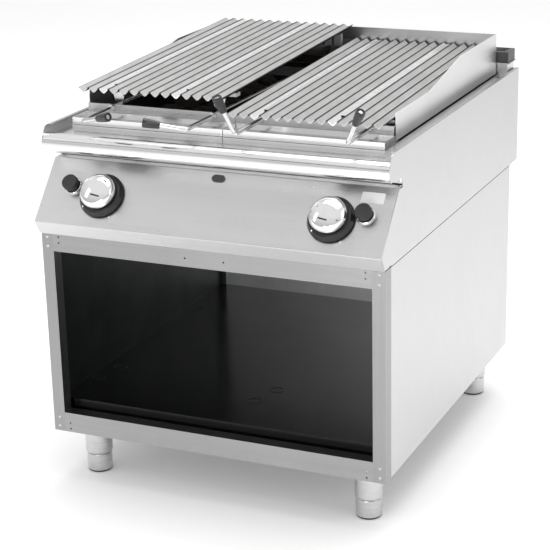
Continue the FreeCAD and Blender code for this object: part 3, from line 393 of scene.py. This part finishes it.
def m_rod():
    k = Mat("lever_rod_plated", metallic=1.0, rough=0.17)
    d = k.noise(k.mapped((260, 260, 260)), detail=3.0, rough=0.6)
    n = k.noise(k.mapped((1, 1, 1)), scale=60.0, detail=5.0)
    f = k.math("MULTIPLY_ADD", d, 0.5, k.math("MULTIPLY", n, 0.5))
    k.link(k.ramp(f, ((0.3, grey(0.66)), (0.55, grey(0.76)), (0.75, grey(0.82)))), k.b.inputs["Base Color"])
    k.link(k.span(f, 0.10, 0.27, 0.3, 0.7), k.b.inputs["Roughness"])
    k.bump(d, 0.06, 0.0001)
    return k


def m_plastic(name, tone=0.012, rough=0.36, scale=900.0, bump=0.12, coat=0.0, rvar=0.07):
    """Moulded black thermoset: fine orange peel, slightly uneven sheen, faint dust."""
    k = Mat(name, metallic=0.0, rough=rough)
    peel = k.noise(k.mapped((1, 1, 1)), scale=scale, detail=2.0, rough=0.5)
    wide = k.noise(k.mapped((1, 1, 1)), scale=45.0, detail=4.0, rough=0.6)
    dust = k.noise(k.mapped((1, 1, 1), loc=(1, 8, 3)), scale=150.0, detail=6.0, rough=0.7)
    col = k.ramp(wide, ((0.3, grey(tone * 0.8)), (0.7, grey(tone * 1.35))))
    dm = k.span(dust, 0.0, 0.10, 0.60, 0.80)
    k.link(k.mixc(dm, col, grey(0.10)), k.b.inputs["Base Color"])
    k.link(k.span(k.math("MULTIPLY_ADD", wide, 0.6, k.math("MULTIPLY", peel, 0.4)), rough - rvar, rough + rvar, 0.34, 0.66), k.b.inputs["Roughness"])
    k.b.inputs["Specular IOR Level"].default_value = 0.5
    k.b.inputs["Coat Weight"].default_value = coat
    k.b.inputs["Coat Roughness"].default_value = 0.18
    k.bump(peel, bump, 0.00008)
    return k


def m_rubber():
    return m_plastic("igniter_rubber", 0.022, 0.55, scale=1400.0, bump=0.25)


def m_label(name="label_vinyl"):
    k = Mat(name, metallic=0.0, rough=0.35)
    n = k.noise(k.mapped((1, 1, 1)), scale=320.0, detail=3.0)
    w = k.noise(k.mapped((1, 1, 1)), scale=30.0, detail=4.0)
    k.link(k.ramp(w, ((0.3, (0.90, 0.90, 0.895)), (0.7, (0.955, 0.955, 0.955)))), k.b.inputs["Base Color"])
    k.link(k.span(w, 0.28, 0.44, 0.3, 0.7), k.b.inputs["Roughness"])
    k.bump(n, 0.04, 0.00005)
    return k


def m_glass():
    k = Mat("pilot_window_glass", metallic=0.0, rough=0.08)
    n = k.noise(k.mapped((1, 1, 1)), scale=120.0, detail=5.0, rough=0.65)
    k.link(k.ramp(n, ((0.35, grey(0.006)), (0.75, grey(0.020)))), k.b.inputs["Base Color"])
    k.link(k.span(n, 0.05, 0.22, 0.35, 0.75), k.b.inputs["Roughness"])
    k.b.inputs["Coat Weight"].default_value = 0.6
    k.b.inputs["Coat Roughness"].default_value = 0.05
    return k


def m_firebox():
    """Mild sheet after firing: blue-grey scale with brown bloom and soot."""
    k = Mat("firebox_scaled_steel", metallic=0.85, rough=0.5)
    n = k.noise(k.mapped((1, 1, 1)), scale=11.0, detail=7.0, rough=0.68, dist=0.8)
    s = k.noise(k.mapped((1, 1, 1), loc=(3, 3, 3)), scale=240.0, detail=4.0, rough=0.6)
    k.link(k.ramp(n, ((0.28, (0.030, 0.028, 0.028)), (0.46, (0.060, 0.055, 0.055)), (0.58, (0.075, 0.060, 0.050)), (0.74, (0.060, 0.064, 0.078)))), k.b.inputs["Base Color"])
    k.link(k.span(k.math("MULTIPLY_ADD", n, 0.6, k.math("MULTIPLY", s, 0.4)), 0.36, 0.68, 0.3, 0.7), k.b.inputs["Roughness"])
    k.bump(s, 0.25, 0.0004)
    return k


def m_burner():
    k = Mat("burner_heat_tinted", metallic=1.0, rough=0.38)
    n = k.noise(k.mapped((1, 1, 1)), scale=14.0, detail=5.0, rough=0.6, dist=0.7)
    s = k.noise(k.mapped((500, 12, 500)), detail=3.0)
    k.link(k.ramp(n, ((0.28, (0.22, 0.23, 0.28)), (0.45, (0.34, 0.30, 0.25)), (0.62, (0.40, 0.36, 0.30)), (0.78, (0.30, 0.27, 0.30)))), k.b.inputs["Base Color"])
    k.link(k.span(k.math("MULTIPLY_ADD", n, 0.5, k.math("MULTIPLY", s, 0.5)), 0.28, 0.50, 0.3, 0.7), k.b.inputs["Roughness"])
    k.bump(s, 0.12, 0.0002)
    return k


def m_rock():
    """Lava rock: dark, full of pores."""
    k = Mat("lava_rock_porous", metallic=0.0, rough=0.9)
    v = k.voronoi(k.mapped((1, 1, 1)), 260.0)
    v2 = k.voronoi(k.mapped((1, 1, 1), loc=(2, 1, 4)), 620.0)
    n = k.noise(k.mapped((1, 1, 1)), scale=34.0, detail=6.0, rough=0.7)
    pores = k.math("MULTIPLY", k.span(v, 0.0, 1.0, 0.08, 0.42), k.span(v2, 0.45, 1.0, 0.05, 0.40))
    col = k.ramp(n, ((0.28, (0.020, 0.017, 0.016)), (0.50, (0.040, 0.033, 0.030)), (0.72, (0.075, 0.058, 0.050))))
    # the pores are bumped in and also painted near black: painted shade in the pits
    k.link(k.mixc(pores, grey(0.008), col), k.b.inputs["Base Color"])
    k.link(k.span(n, 0.78, 0.98, 0.3, 0.7), k.b.inputs["Roughness"])
    k.bump(k.math("MULTIPLY_ADD", pores, 0.7, k.math("MULTIPLY", n, 0.6)), 0.9, 0.0016)
    return k


def m_brass():
    k = Mat("valve_brass_machined", metallic=1.0, rough=0.30)
    n = k.noise(k.mapped((1, 1, 1)), scale=40.0, detail=5.0, rough=0.6)
    s = k.noise(k.mapped((900, 30, 900)), detail=2.0)
    k.link(k.ramp(n, ((0.3, (0.50, 0.36, 0.15)), (0.55, (0.66, 0.50, 0.24)), (0.75, (0.72, 0.56, 0.30)))), k.b.inputs["Base Color"])
    k.link(k.span(k.math("MULTIPLY_ADD", n, 0.5, k.math("MULTIPLY", s, 0.5)), 0.22, 0.42, 0.3, 0.7), k.b.inputs["Roughness"])
    k.bump(s, 0.08, 0.0001)
    return k


def m_enamel():
    """Dark enamelled casting: soft orange peel under a glossy skin, chalky in patches."""
    k = Mat("flue_grille_enamel", metallic=0.0, rough=0.42)
    p = k.noise(k.mapped((1, 1, 1)), scale=260.0, detail=3.0, rough=0.6)
    w = k.noise(k.mapped((1, 1, 1)), scale=24.0, detail=5.0, rough=0.65)
    k.link(k.ramp(w, ((0.3, grey(0.030)), (0.55, grey(0.048)), (0.78, (0.066, 0.062, 0.060)))), k.b.inputs["Base Color"])
    k.link(k.span(k.math("MULTIPLY_ADD", w, 0.6, k.math("MULTIPLY", p, 0.4)), 0.34, 0.58, 0.32, 0.68), k.b.inputs["Roughness"])
    k.b.inputs["Coat Weight"].default_value = 0.15
    k.b.inputs["Coat Roughness"].default_value = 0.25
    k.bump(p, 0.22, 0.0004)
    return k


def m_screw():
    k = Mat("screw_steel", metallic=1.0, rough=0.28)
    n = k.noise(k.mapped((1, 1, 1)), scale=600.0, detail=3.0)
    w = k.noise(k.mapped((1, 1, 1)), scale=60.0, detail=4.0)
    k.link(k.ramp(w, ((0.3, grey(0.50)), (0.7, grey(0.62)))), k.b.inputs["Base Color"])
    k.link(k.span(n, 0.18, 0.38, 0.3, 0.7), k.b.inputs["Roughness"])
    k.bump(n, 0.06, 0.0001)
    return k


def m_floor():
    k = Mat("studio_floor", metallic=0.0, rough=0.7)
    n = k.noise(k.mapped((1, 1, 1)), scale=0.6, detail=3.0)
    k.link(k.ramp(n, ((0.3, (0.900, 0.900, 0.900)), (0.7, (0.915, 0.915, 0.915)))), k.b.inputs["Base Color"])
    k.b.inputs["Specular IOR Level"].default_value = 0.1
    k.b.inputs["Emission Color"].default_value = (1.0, 1.0, 1.0, 1.0)
    k.b.inputs["Emission Strength"].default_value = 0.17
    return k


MADE = {}


def paint(mat_key, maker, *names):
    if mat_key not in MADE:
        MADE[mat_key] = maker().m
    for n in names:
        ms = NODES[n].data.materials
        if len(ms) == 0:
            ms.append(MADE[mat_key])
        for i in range(len(ms)):
            ms[i] = MADE[mat_key]


paint("outer", m_outer, "upper_side_left", "upper_side_right")
paint("side_l", lambda: m_side("side_panel_left_brushed", -1.0), "side_panel_left")
paint("side_r", lambda: m_side("side_panel_right_brushed", 1.0), "side_panel_right")
paint("galv", lambda: m_galv("rear_sheet_galvanised", 0.50), "upper_back")
paint("galv2", lambda: m_galv("base_channel_galvanised", 0.40), "base_channels", "cabinet_ceiling")
paint("back", m_liner_back, "cabinet_back")
paint("cfloor", m_liner_floor, "cabinet_floor")
paint("front", m_front, "front_posts")
paint("rail", m_rail, "front_rails")
paint("panel", m_panel, "control_panel", "hob_fronts")
paint("top", m_top, "worktop_front", "worktop_margins")
paint("collar", m_collar, "hob_collars")
paint("tray", m_tray, "grease_tray_left", "grease_tray_right")
paint("splash", m_splash, "splash_side_left", "splash_side_right")
paint("splashb", m_splash_back, "splash_back", "flue_duct")
paint("grate", m_grate, "grate_left", "grate_right")
paint("leg", m_leg, "leg_sleeves", "foot_front_left", "foot_front_right", "foot_rear_left", "foot_rear_right")
paint("chrome", lambda: m_chrome("knob_chrome", 0.88, 0.045), "knob_dome_left", "knob_dome_right")
paint("skirt", lambda: m_plastic("knob_skirt_black", 0.010, 0.33, 900.0, 0.10), "knob_skirt_left", "knob_skirt_right")
paint("spindle", m_screw, "valve_spindle_left", "valve_spindle_right", "pilots", "screws")
paint("ichrome", lambda: m_chrome("igniter_ring_chrome", 0.85, 0.07), "igniter_housings")
paint("rubber", m_rubber, "igniter_button_left", "igniter_button_right")
paint("glass", m_glass, "pilot_window")
paint("label", m_label, "label_plate")
paint("rod", m_rod, "lift_lever_1", "lift_lever_2", "lift_lever_3", "lift_lever_4")
paint("firebox", m_firebox, "firebox_left", "firebox_right", "shaft_straps", "lava_grids")
paint("burner", m_burner, "burners", "gas_manifold")
paint("brass", m_brass, "gas_valves", "injectors")
paint("enamel", m_enamel, "flue_grille")

# ------------------------------------------------------------------ mesh helpers
MM = 0.001
OX, OY = 400.0, 458.25          # shop millimetres to the row frame


def place(x, y, z):
    return Vector(((x - OX) * MM, (y - OY) * MM, z * MM))


def from_bm(name, bm, mat, smooth=True):
    bmesh.ops.recalc_face_normals(bm, faces=bm.faces[:])
    me = bpy.data.meshes.new(name)
    bm.to_mesh(me)
    bm.free()
    for p in me.polygons:
        p.use_smooth = smooth
    ob = bpy.data.objects.new(name, me)
    SC.collection.objects.link(ob)
    me.materials.append(mat)
    return ob


def sharpen(ob, angle=math.radians(32)):
    me = ob.data
    bm = bmesh.new()
    bm.from_mesh(me)
    for e in bm.edges:
        if len(e.link_faces) == 2 and e.calc_face_angle(0.0) > angle:
            e.smooth = False
    bm.to_mesh(me)
    bm.free()


def lathe(bm, prof, seg, to_world, radius=None):
    """Rings of prof [(r, h)], closed at both ends on the axis. radius(r, h, theta) may reshape."""
    rings = []
    for (r, h) in prof:
        if r < 1e-6:
            rings.append([bm.verts.new(to_world(0.0, 0.0, h))])
            continue
        ring = []
        for i in range(seg):
            t = 2 * math.pi * i / seg
            rr = radius(r, h, t) if radius else r
            ring.append(bm.verts.new(to_world(rr * math.cos(t), rr * math.sin(t), h)))
        rings.append(ring)
    for a, b in zip(rings, rings[1:]):
        n = max(len(a), len(b))
        for i in range(n):
            j = (i + 1) % n
            if len(a) == 1 and len(b) == 1:
                continue
            if len(a) == 1:
                bm.faces.new((a[0], b[i], b[j]))
            elif len(b) == 1:
                bm.faces.new((a[i], a[j], b[0]))
            else:
                bm.faces.new((a[i], a[j], b[j], b[i]))
    return rings


# ------------------------------------------------------------------ lever grips: tapered, fluted, dished end
SHAFT_X = (101.0, 348.0, 461.0, 708.0)
ARM = (75.0, -79.0, -16.5, 29.5)
LEAN = math.radians(20.0)
Y_CRANK, Z_SHAFT = 32.0, 836.5
grip_mat = m_plastic("lever_grip_black", 0.009, 0.24, 700.0, 0.07, coat=0.35, rvar=0.06).m
end_mat = MADE["spindle"]


def grip_frame(i):
    a = math.radians(ARM[i])
    axis = Vector((math.sin(a) * math.cos(LEAN), -math.sin(LEAN), math.cos(a) * math.cos(LEAN)))
    e1 = Vector((math.cos(a), 0.0, -math.sin(a)))
    e2 = axis.cross(e1)
    o = place(SHAFT_X[i], Y_CRANK, Z_SHAFT)

    def to_world(u, v, h):
        return o + (e1 * u + e2 * v + axis * h) * MM
    return to_world


def body_radius(h):
    """Outer radius of the grip along its length, in mm."""
    pts = ((54.4, 7.1), (55.6, 7.66), (60.0, 8.25), (66.0, 8.98), (72.0, 9.6), (78.0, 10.02), (84.0, 10.28), (88.0, 10.34))
    for (h0, r0), (h1, r1) in zip(pts, pts[1:]):
        if h0 <= h <= h1:
            return r0 + (r1 - r0) * (h - h0) / (h1 - h0)
    return pts[0][1] if h < pts[0][0] else pts[-1][1]


def flute(r, h, t):
    if not 56.5 < h < 87.0 or r < 7.0:
        return r
    w = min(1.0, (h - 56.5) / 4.0, (87.0 - h) / 3.0)
    w = w * w * (3 - 2 * w)
    c = abs(math.cos(5.0 * t))
    return r - (0.40 + 0.055 * r) * 0.85 * w * (1.0 - c ** 0.7 if c > 0 else 1.0)


for i in range(4):
    tw = grip_frame(i)
    prof = [(0.0, 60.12), (3.0, 60.12), (5.04, 60.12), (5.04, 57.0), (5.04, 54.02), (6.1, 54.02), (6.9, 54.25)]
    hs = [54.6, 55.1, 55.8, 56.6] + [57.4 + 0.96 * k for k in range(33)]
    prof += [(body_radius(h), h) for h in hs]
    prof += [(10.2, 88.9), (9.85, 89.9), (9.3, 90.55), (8.6, 90.88), (8.0, 90.9), (7.55, 90.6), (7.25, 89.9), (7.0, 88.9), (6.3, 88.2), (5.5, 87.9),
             (4.7, 87.75), (4.6, 87.3), (0.0, 87.2)]
    bm = bmesh.new()
    lathe(bm, prof, 100, tw, flute)
    ob = from_bm("fluted_grip_%d" % (i + 1), bm, grip_mat)
    sharpen(ob, math.radians(40))
    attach(ob, "lever_%d" % (i + 1))
    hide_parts("lever_grip_%d" % (i + 1))
    # slotted end of the rod, seen at the bottom of the dish
    bm = bmesh.new()
    for s in (-1, 1):
        pts = []
        for k in range(25):
            t = -math.pi / 2 + math.pi * k / 24
            pts.append((s * (0.5 + 3.7 * max(math.cos(t), 0.0)), 4.15 * math.sin(t)))
        levels = ((87.25, 1.0), (88.9, 1.0), (89.45, 0.94), (89.75, 0.82))
        rows = []
        for (h, sc) in levels:
            rows.append([bm.verts.new(tw(s * 0.5 + (p[0] - s * 0.5) * sc, p[1] * sc, h)) for p in pts])
        for a, b in zip(rows, rows[1:]):
            n = len(a)
            for k in range(n):
                j = (k + 1) % n
                bm.faces.new((a[k], a[j], b[j], b[k]))
        bm.faces.new(rows[0])
        bm.faces.new(rows[-1])
    ob = from_bm("grip_end_%d" % (i + 1), bm, end_mat, smooth=False)
    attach(ob, "lever_%d" % (i + 1))

# ------------------------------------------------------------------ lava rock
rng = random.Random(11)
rock_mat = m_rock().m
bm = bmesh.new()
FUEL_X0, FUEL_W, FB_Y0, FB_Y1 = (45.0, 405.0), 350.0, 192.0, 884.0
unit = bmesh.new()
bmesh.ops.create_icosphere(unit, subdivisions=3, radius=1.0)
UV = [v.co.copy() for v in unit.verts]
UF = [[v.index for v in f.verts] for f in unit.faces]
unit.free()
for x0 in FUEL_X0:
    for r in range(9):
        for c in range(4):
            cx = x0 + 2 + (c + 0.5) * (FUEL_W - 4) / 4 + rng.uniform(-2, 2)
            cy = FB_Y0 + 16 + (r + 0.5) * (FB_Y1 - FB_Y0 - 32) / 9 + rng.uniform(-2, 2)
            cz = 761.5 + rng.uniform(-0.5, 1.0)
            rad = Vector((rng.uniform(35, 39.5), rng.uniform(31, 34.5), 21.0))
            seed = Vector((rng.uniform(-50, 50), rng.uniform(-50, 50), rng.uniform(-50, 50)))
            planes = []
            for _ in range(9):
                d = Vector((rng.gauss(0, 1), rng.gauss(0, 1), rng.gauss(0, 1))).normalized()
                planes.append((d, rng.uniform(0.62, 0.88)))
            vs = []
            for u in UV:
                k = 1.0
                for d, lim in planes:                      # broken faces
                    dp = u.dot(d)
                    if dp * k > lim:
                        k = lim / dp
                k *= 0.93 + 0.09 * noise.noise(u * 2.1 + seed)
                k += 0.045 * noise.noise(u * 5.3 + seed)
                k -= 0.05 * max(0.0, noise.noise(u * 9.0 - seed) - 0.15)
                k = min(k, 1.0)
                vs.append(bm.verts.new(place(cx + u.x * rad.x * k, cy + u.y * rad.y * k, cz + u.z * rad.z * k)))
            for f in UF:
                bm.faces.new([vs[q] for q in f])
ob = from_bm("lava_rock_bed", bm, rock_mat)
sharpen(ob, math.radians(38))
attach(ob, "body")
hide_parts("lava_stones")

# ------------------------------------------------------------------ small marks on knobs and panel
PT, PB = (78.0, 739.0), (-25.0, 620.0)
ln = math.hypot(PT[0] - PB[0], PT[1] - PB[1])
N = Vector((0.0, -(PT[1] - PB[1]) / ln, (PT[0] - PB[0]) / ln))
U = Vector((0.0, (PT[0] - PB[0]) / ln, (PT[1] - PB[1]) / ln))
X = Vector((1.0, 0.0, 0.0))
KNOB_X, KNOB_Z = (145.0, 676.0), 676.0
mark_mat = m_label("mark_white_ink").m


def on_panel(x, z):
    f = (PT[1] - z) / (PT[1] - PB[1])
    return place(x, PT[0] - f * (PT[0] - PB[0]), z)


def patch(name, node, centre, outline, body, mat, lift=0.00004, thick=0.00012):
    """A thin printed or inlaid mark: outline [(x, u)] in mm about centre, laid on a node's own surface."""
    src = NODES[node]
    me = src.data
    tree = BVHTree.FromPolygons([v.co.copy() for v in me.vertices], [tuple(p.vertices) for p in me.polygons])
    bm = bmesh.new()
    # a fan of rings, so that the mark follows a curved surface
    rings = []
    for s in (1.0, 0.66, 0.33):
        top = []
        for (a, b) in outline:
            q = centre + (X * a * s + U * b * s) * MM + N * 0.08
            hit = tree.ray_cast(q, -N, 0.2)[0]
            if hit is None:
                bm.free()
                return None
            top.append(hit)
        rings.append(top)
    hit = tree.ray_cast(centre + N * 0.08, -N, 0.2)[0]
    low = [bm.verts.new(p - N * 0.00005) for p in rings[0]]
    tops = [[bm.verts.new(p + N * (lift + thick)) for p in r] for r in rings]
    mid = bm.verts.new(hit + N * (lift + thick))
    n = len(outline)
    for k in range(n):
        j = (k + 1) % n
        bm.faces.new((low[k], low[j], tops[0][j], tops[0][k]))
        bm.faces.new((tops[0][k], tops[0][j], tops[1][j], tops[1][k]))
        bm.faces.new((tops[1][k], tops[1][j], tops[2][j], tops[2][k]))
        bm.faces.new((tops[2][k], tops[2][j], mid))
    bm.faces.new(low[::-1])
    ob = from_bm(name, bm, mat)
    sharpen(ob, math.radians(40))
    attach(ob, body)
    return ob


def disc(r, n=20):
    return [(r * math.cos(2 * math.pi * k / n), r * math.sin(2 * math.pi * k / n)) for k in range(n)]


def bar(w, l, n=4):
    pts = []
    for (cx, cy, a0) in ((w / 2 - 0.6, l / 2 - 0.6, 0), (-w / 2 + 0.6, l / 2 - 0.6, 90), (-w / 2 + 0.6, -l / 2 + 0.6, 180), (w / 2 - 0.6, -l / 2 + 0.6, 270)):
        for k in range(n + 1):
            t = math.radians(a0 + 90 * k / n)
            pts.append((cx + 0.6 * math.cos(t), cy + 0.6 * math.sin(t)))
    return pts


for side, kx in (("left", KNOB_X[0]), ("right", KNOB_X[1])):
    kc = on_panel(kx, KNOB_Z)
    skirt = "knob_skirt_" + side
    body = side + "_knob"
    if body not in frame["bodies"]:
        body = side + "_spindle"
    # pointer line at the top and a dot at the lower left
    patch("skirt_pointer_" + side, skirt, kc + (X * 0.0 + U * 45.2) * MM, bar(3.4, 7.6), body, mark_mat)
    t = math.radians(228)
    patch("skirt_dot_" + side, skirt, kc + (X * math.cos(t) + U * math.sin(t)) * 45.6 * MM, disc(1.9), body, mark_mat)
    t = math.radians(-57)
    patch("panel_mark_" + side, "control_panel", kc + (X * math.cos(t) + U * math.sin(t)) * 55.6 * MM, disc(2.2), "body", mark_mat)

# ------------------------------------------------------------------ floor, light
fm = m_floor().m
bm = bmesh.new()
bmesh.ops.create_grid(bm, x_segments=2, y_segments=2, size=45.0)
floor = from_bm("floor", bm, fm, smooth=False)
floor.location = (0, 0, -0.0003)

w = bpy.data.worlds.new("studio")
SC.world = w
w.use_nodes = True
nt = w.node_tree
nt.nodes.clear()
wo = nt.nodes.new("ShaderNodeOutputWorld")
bg = nt.nodes.new("ShaderNodeBackground")
tc = nt.nodes.new("ShaderNodeTexCoord")
sep = nt.nodes.new("ShaderNodeSeparateXYZ")
rp = nt.nodes.new("ShaderNodeValToRGB")
mr = nt.nodes.new("ShaderNodeMapRange")
nt.links.new(tc.outputs["Generated"], sep.inputs[0])
nt.links.new(sep.outputs[2], mr.inputs["Value"])
mr.inputs["From Min"].default_value = -1.0
mr.inputs["From Max"].default_value = 1.0
nt.links.new(mr.outputs["Result"], rp.inputs["Fac"])
cr = rp.color_ramp
stops = ((0.0, 0.80), (0.50, 0.62), (0.56, 0.70), (0.68, 0.86), (0.84, 1.0), (1.0, 1.0))
while len(cr.elements) < len(stops):
    cr.elements.new(0.5)
for e, (p, v) in zip(cr.elements, stops):
    e.position = p
    e.color = (v, v, v, 1.0)
nt.links.new(rp.outputs["Color"], bg.inputs["Color"])
bg.inputs["Strength"].default_value = 0.85
nt.links.new(bg.outputs[0], wo.inputs[0])


def area(name, at, look, size, size_y, power):
    d = bpy.data.lights.new(name, "AREA")
    d.shape = "RECTANGLE"
    d.size = size
    d.size_y = size_y
    d.energy = power
    o = bpy.data.objects.new(name, d)
    SC.collection.objects.link(o)
    z = (Vector(at) - Vector(look)).normalized()
    x = Vector((0, 0, 1)).cross(z)
    if x.length < 1e-3:
        x = Vector((1, 0, 0))
    x.normalize()
    y = z.cross(x)
    o.matrix_world = Matrix(((x.x, y.x, z.x, at[0]), (x.y, y.y, z.y, at[1]), (x.z, y.z, z.z, at[2]), (0, 0, 0, 1)))
    return o


area("top_soft", (0.2, 0.6, 4.6), (0.0, 0.0, 0.6), 4.0, 3.2, 120.0)
area("right_soft", (3.4, -0.4, 2.0), (0.0, 0.0, 0.5), 1.8, 2.4, 16.0)
area("left_soft", (-3.0, -2.4, 2.4), (0.0, 0.0, 0.6), 0.9, 2.0, 8.0)
area("low_fill", (0.35, -3.4, 0.55), (0.0, 0.3, 0.35), 1.8, 0.7, 16.0)


def card(name, at, look, w_, h_, tone):
    """A dark studio flag, seen only in the reflections of the bright work."""
    bm = bmesh.new()
    z = (Vector(look) - Vector(at)).normalized()
    x = Vector((0, 0, 1)).cross(z).normalized()
    y = z.cross(x)
    n = 10
    ring = []
    for q in range(4):
        cx, cy = ((1, 1), (-1, 1), (-1, -1), (1, -1))[q]
        for t in range(n + 1):
            a = math.radians(90 * q + 90 * t / n)
            r = 0.35 * min(w_, h_)
            px = cx * (w_ / 2 - r) + r * math.cos(a)
            py = cy * (h_ / 2 - r) + r * math.sin(a)
            ring.append(bm.verts.new(Vector(at) + x * px + y * py))
    bm.faces.new(ring)
    k = Mat(name + "_cloth", metallic=0.0, rough=0.9, color=grey(tone))
    o = from_bm(name, bm, k.m, smooth=False)
    o.visible_camera = False
    o.visible_shadow = False
    o.visible_diffuse = False
    return o


card("flag_front", (-1.15, -3.1, 2.35), (0.0, -0.4, 0.7), 2.2, 0.34, 0.02)
card("flag_right", (2.9, -3.9, 2.9), (0.27, -0.43, 0.7), 1.1, 0.30, 0.03)

SC.view_settings.view_transform = "Standard"
SC.view_settings.look = "None"
SC.view_settings.exposure = 0.0
SC.view_settings.gamma = 1.0
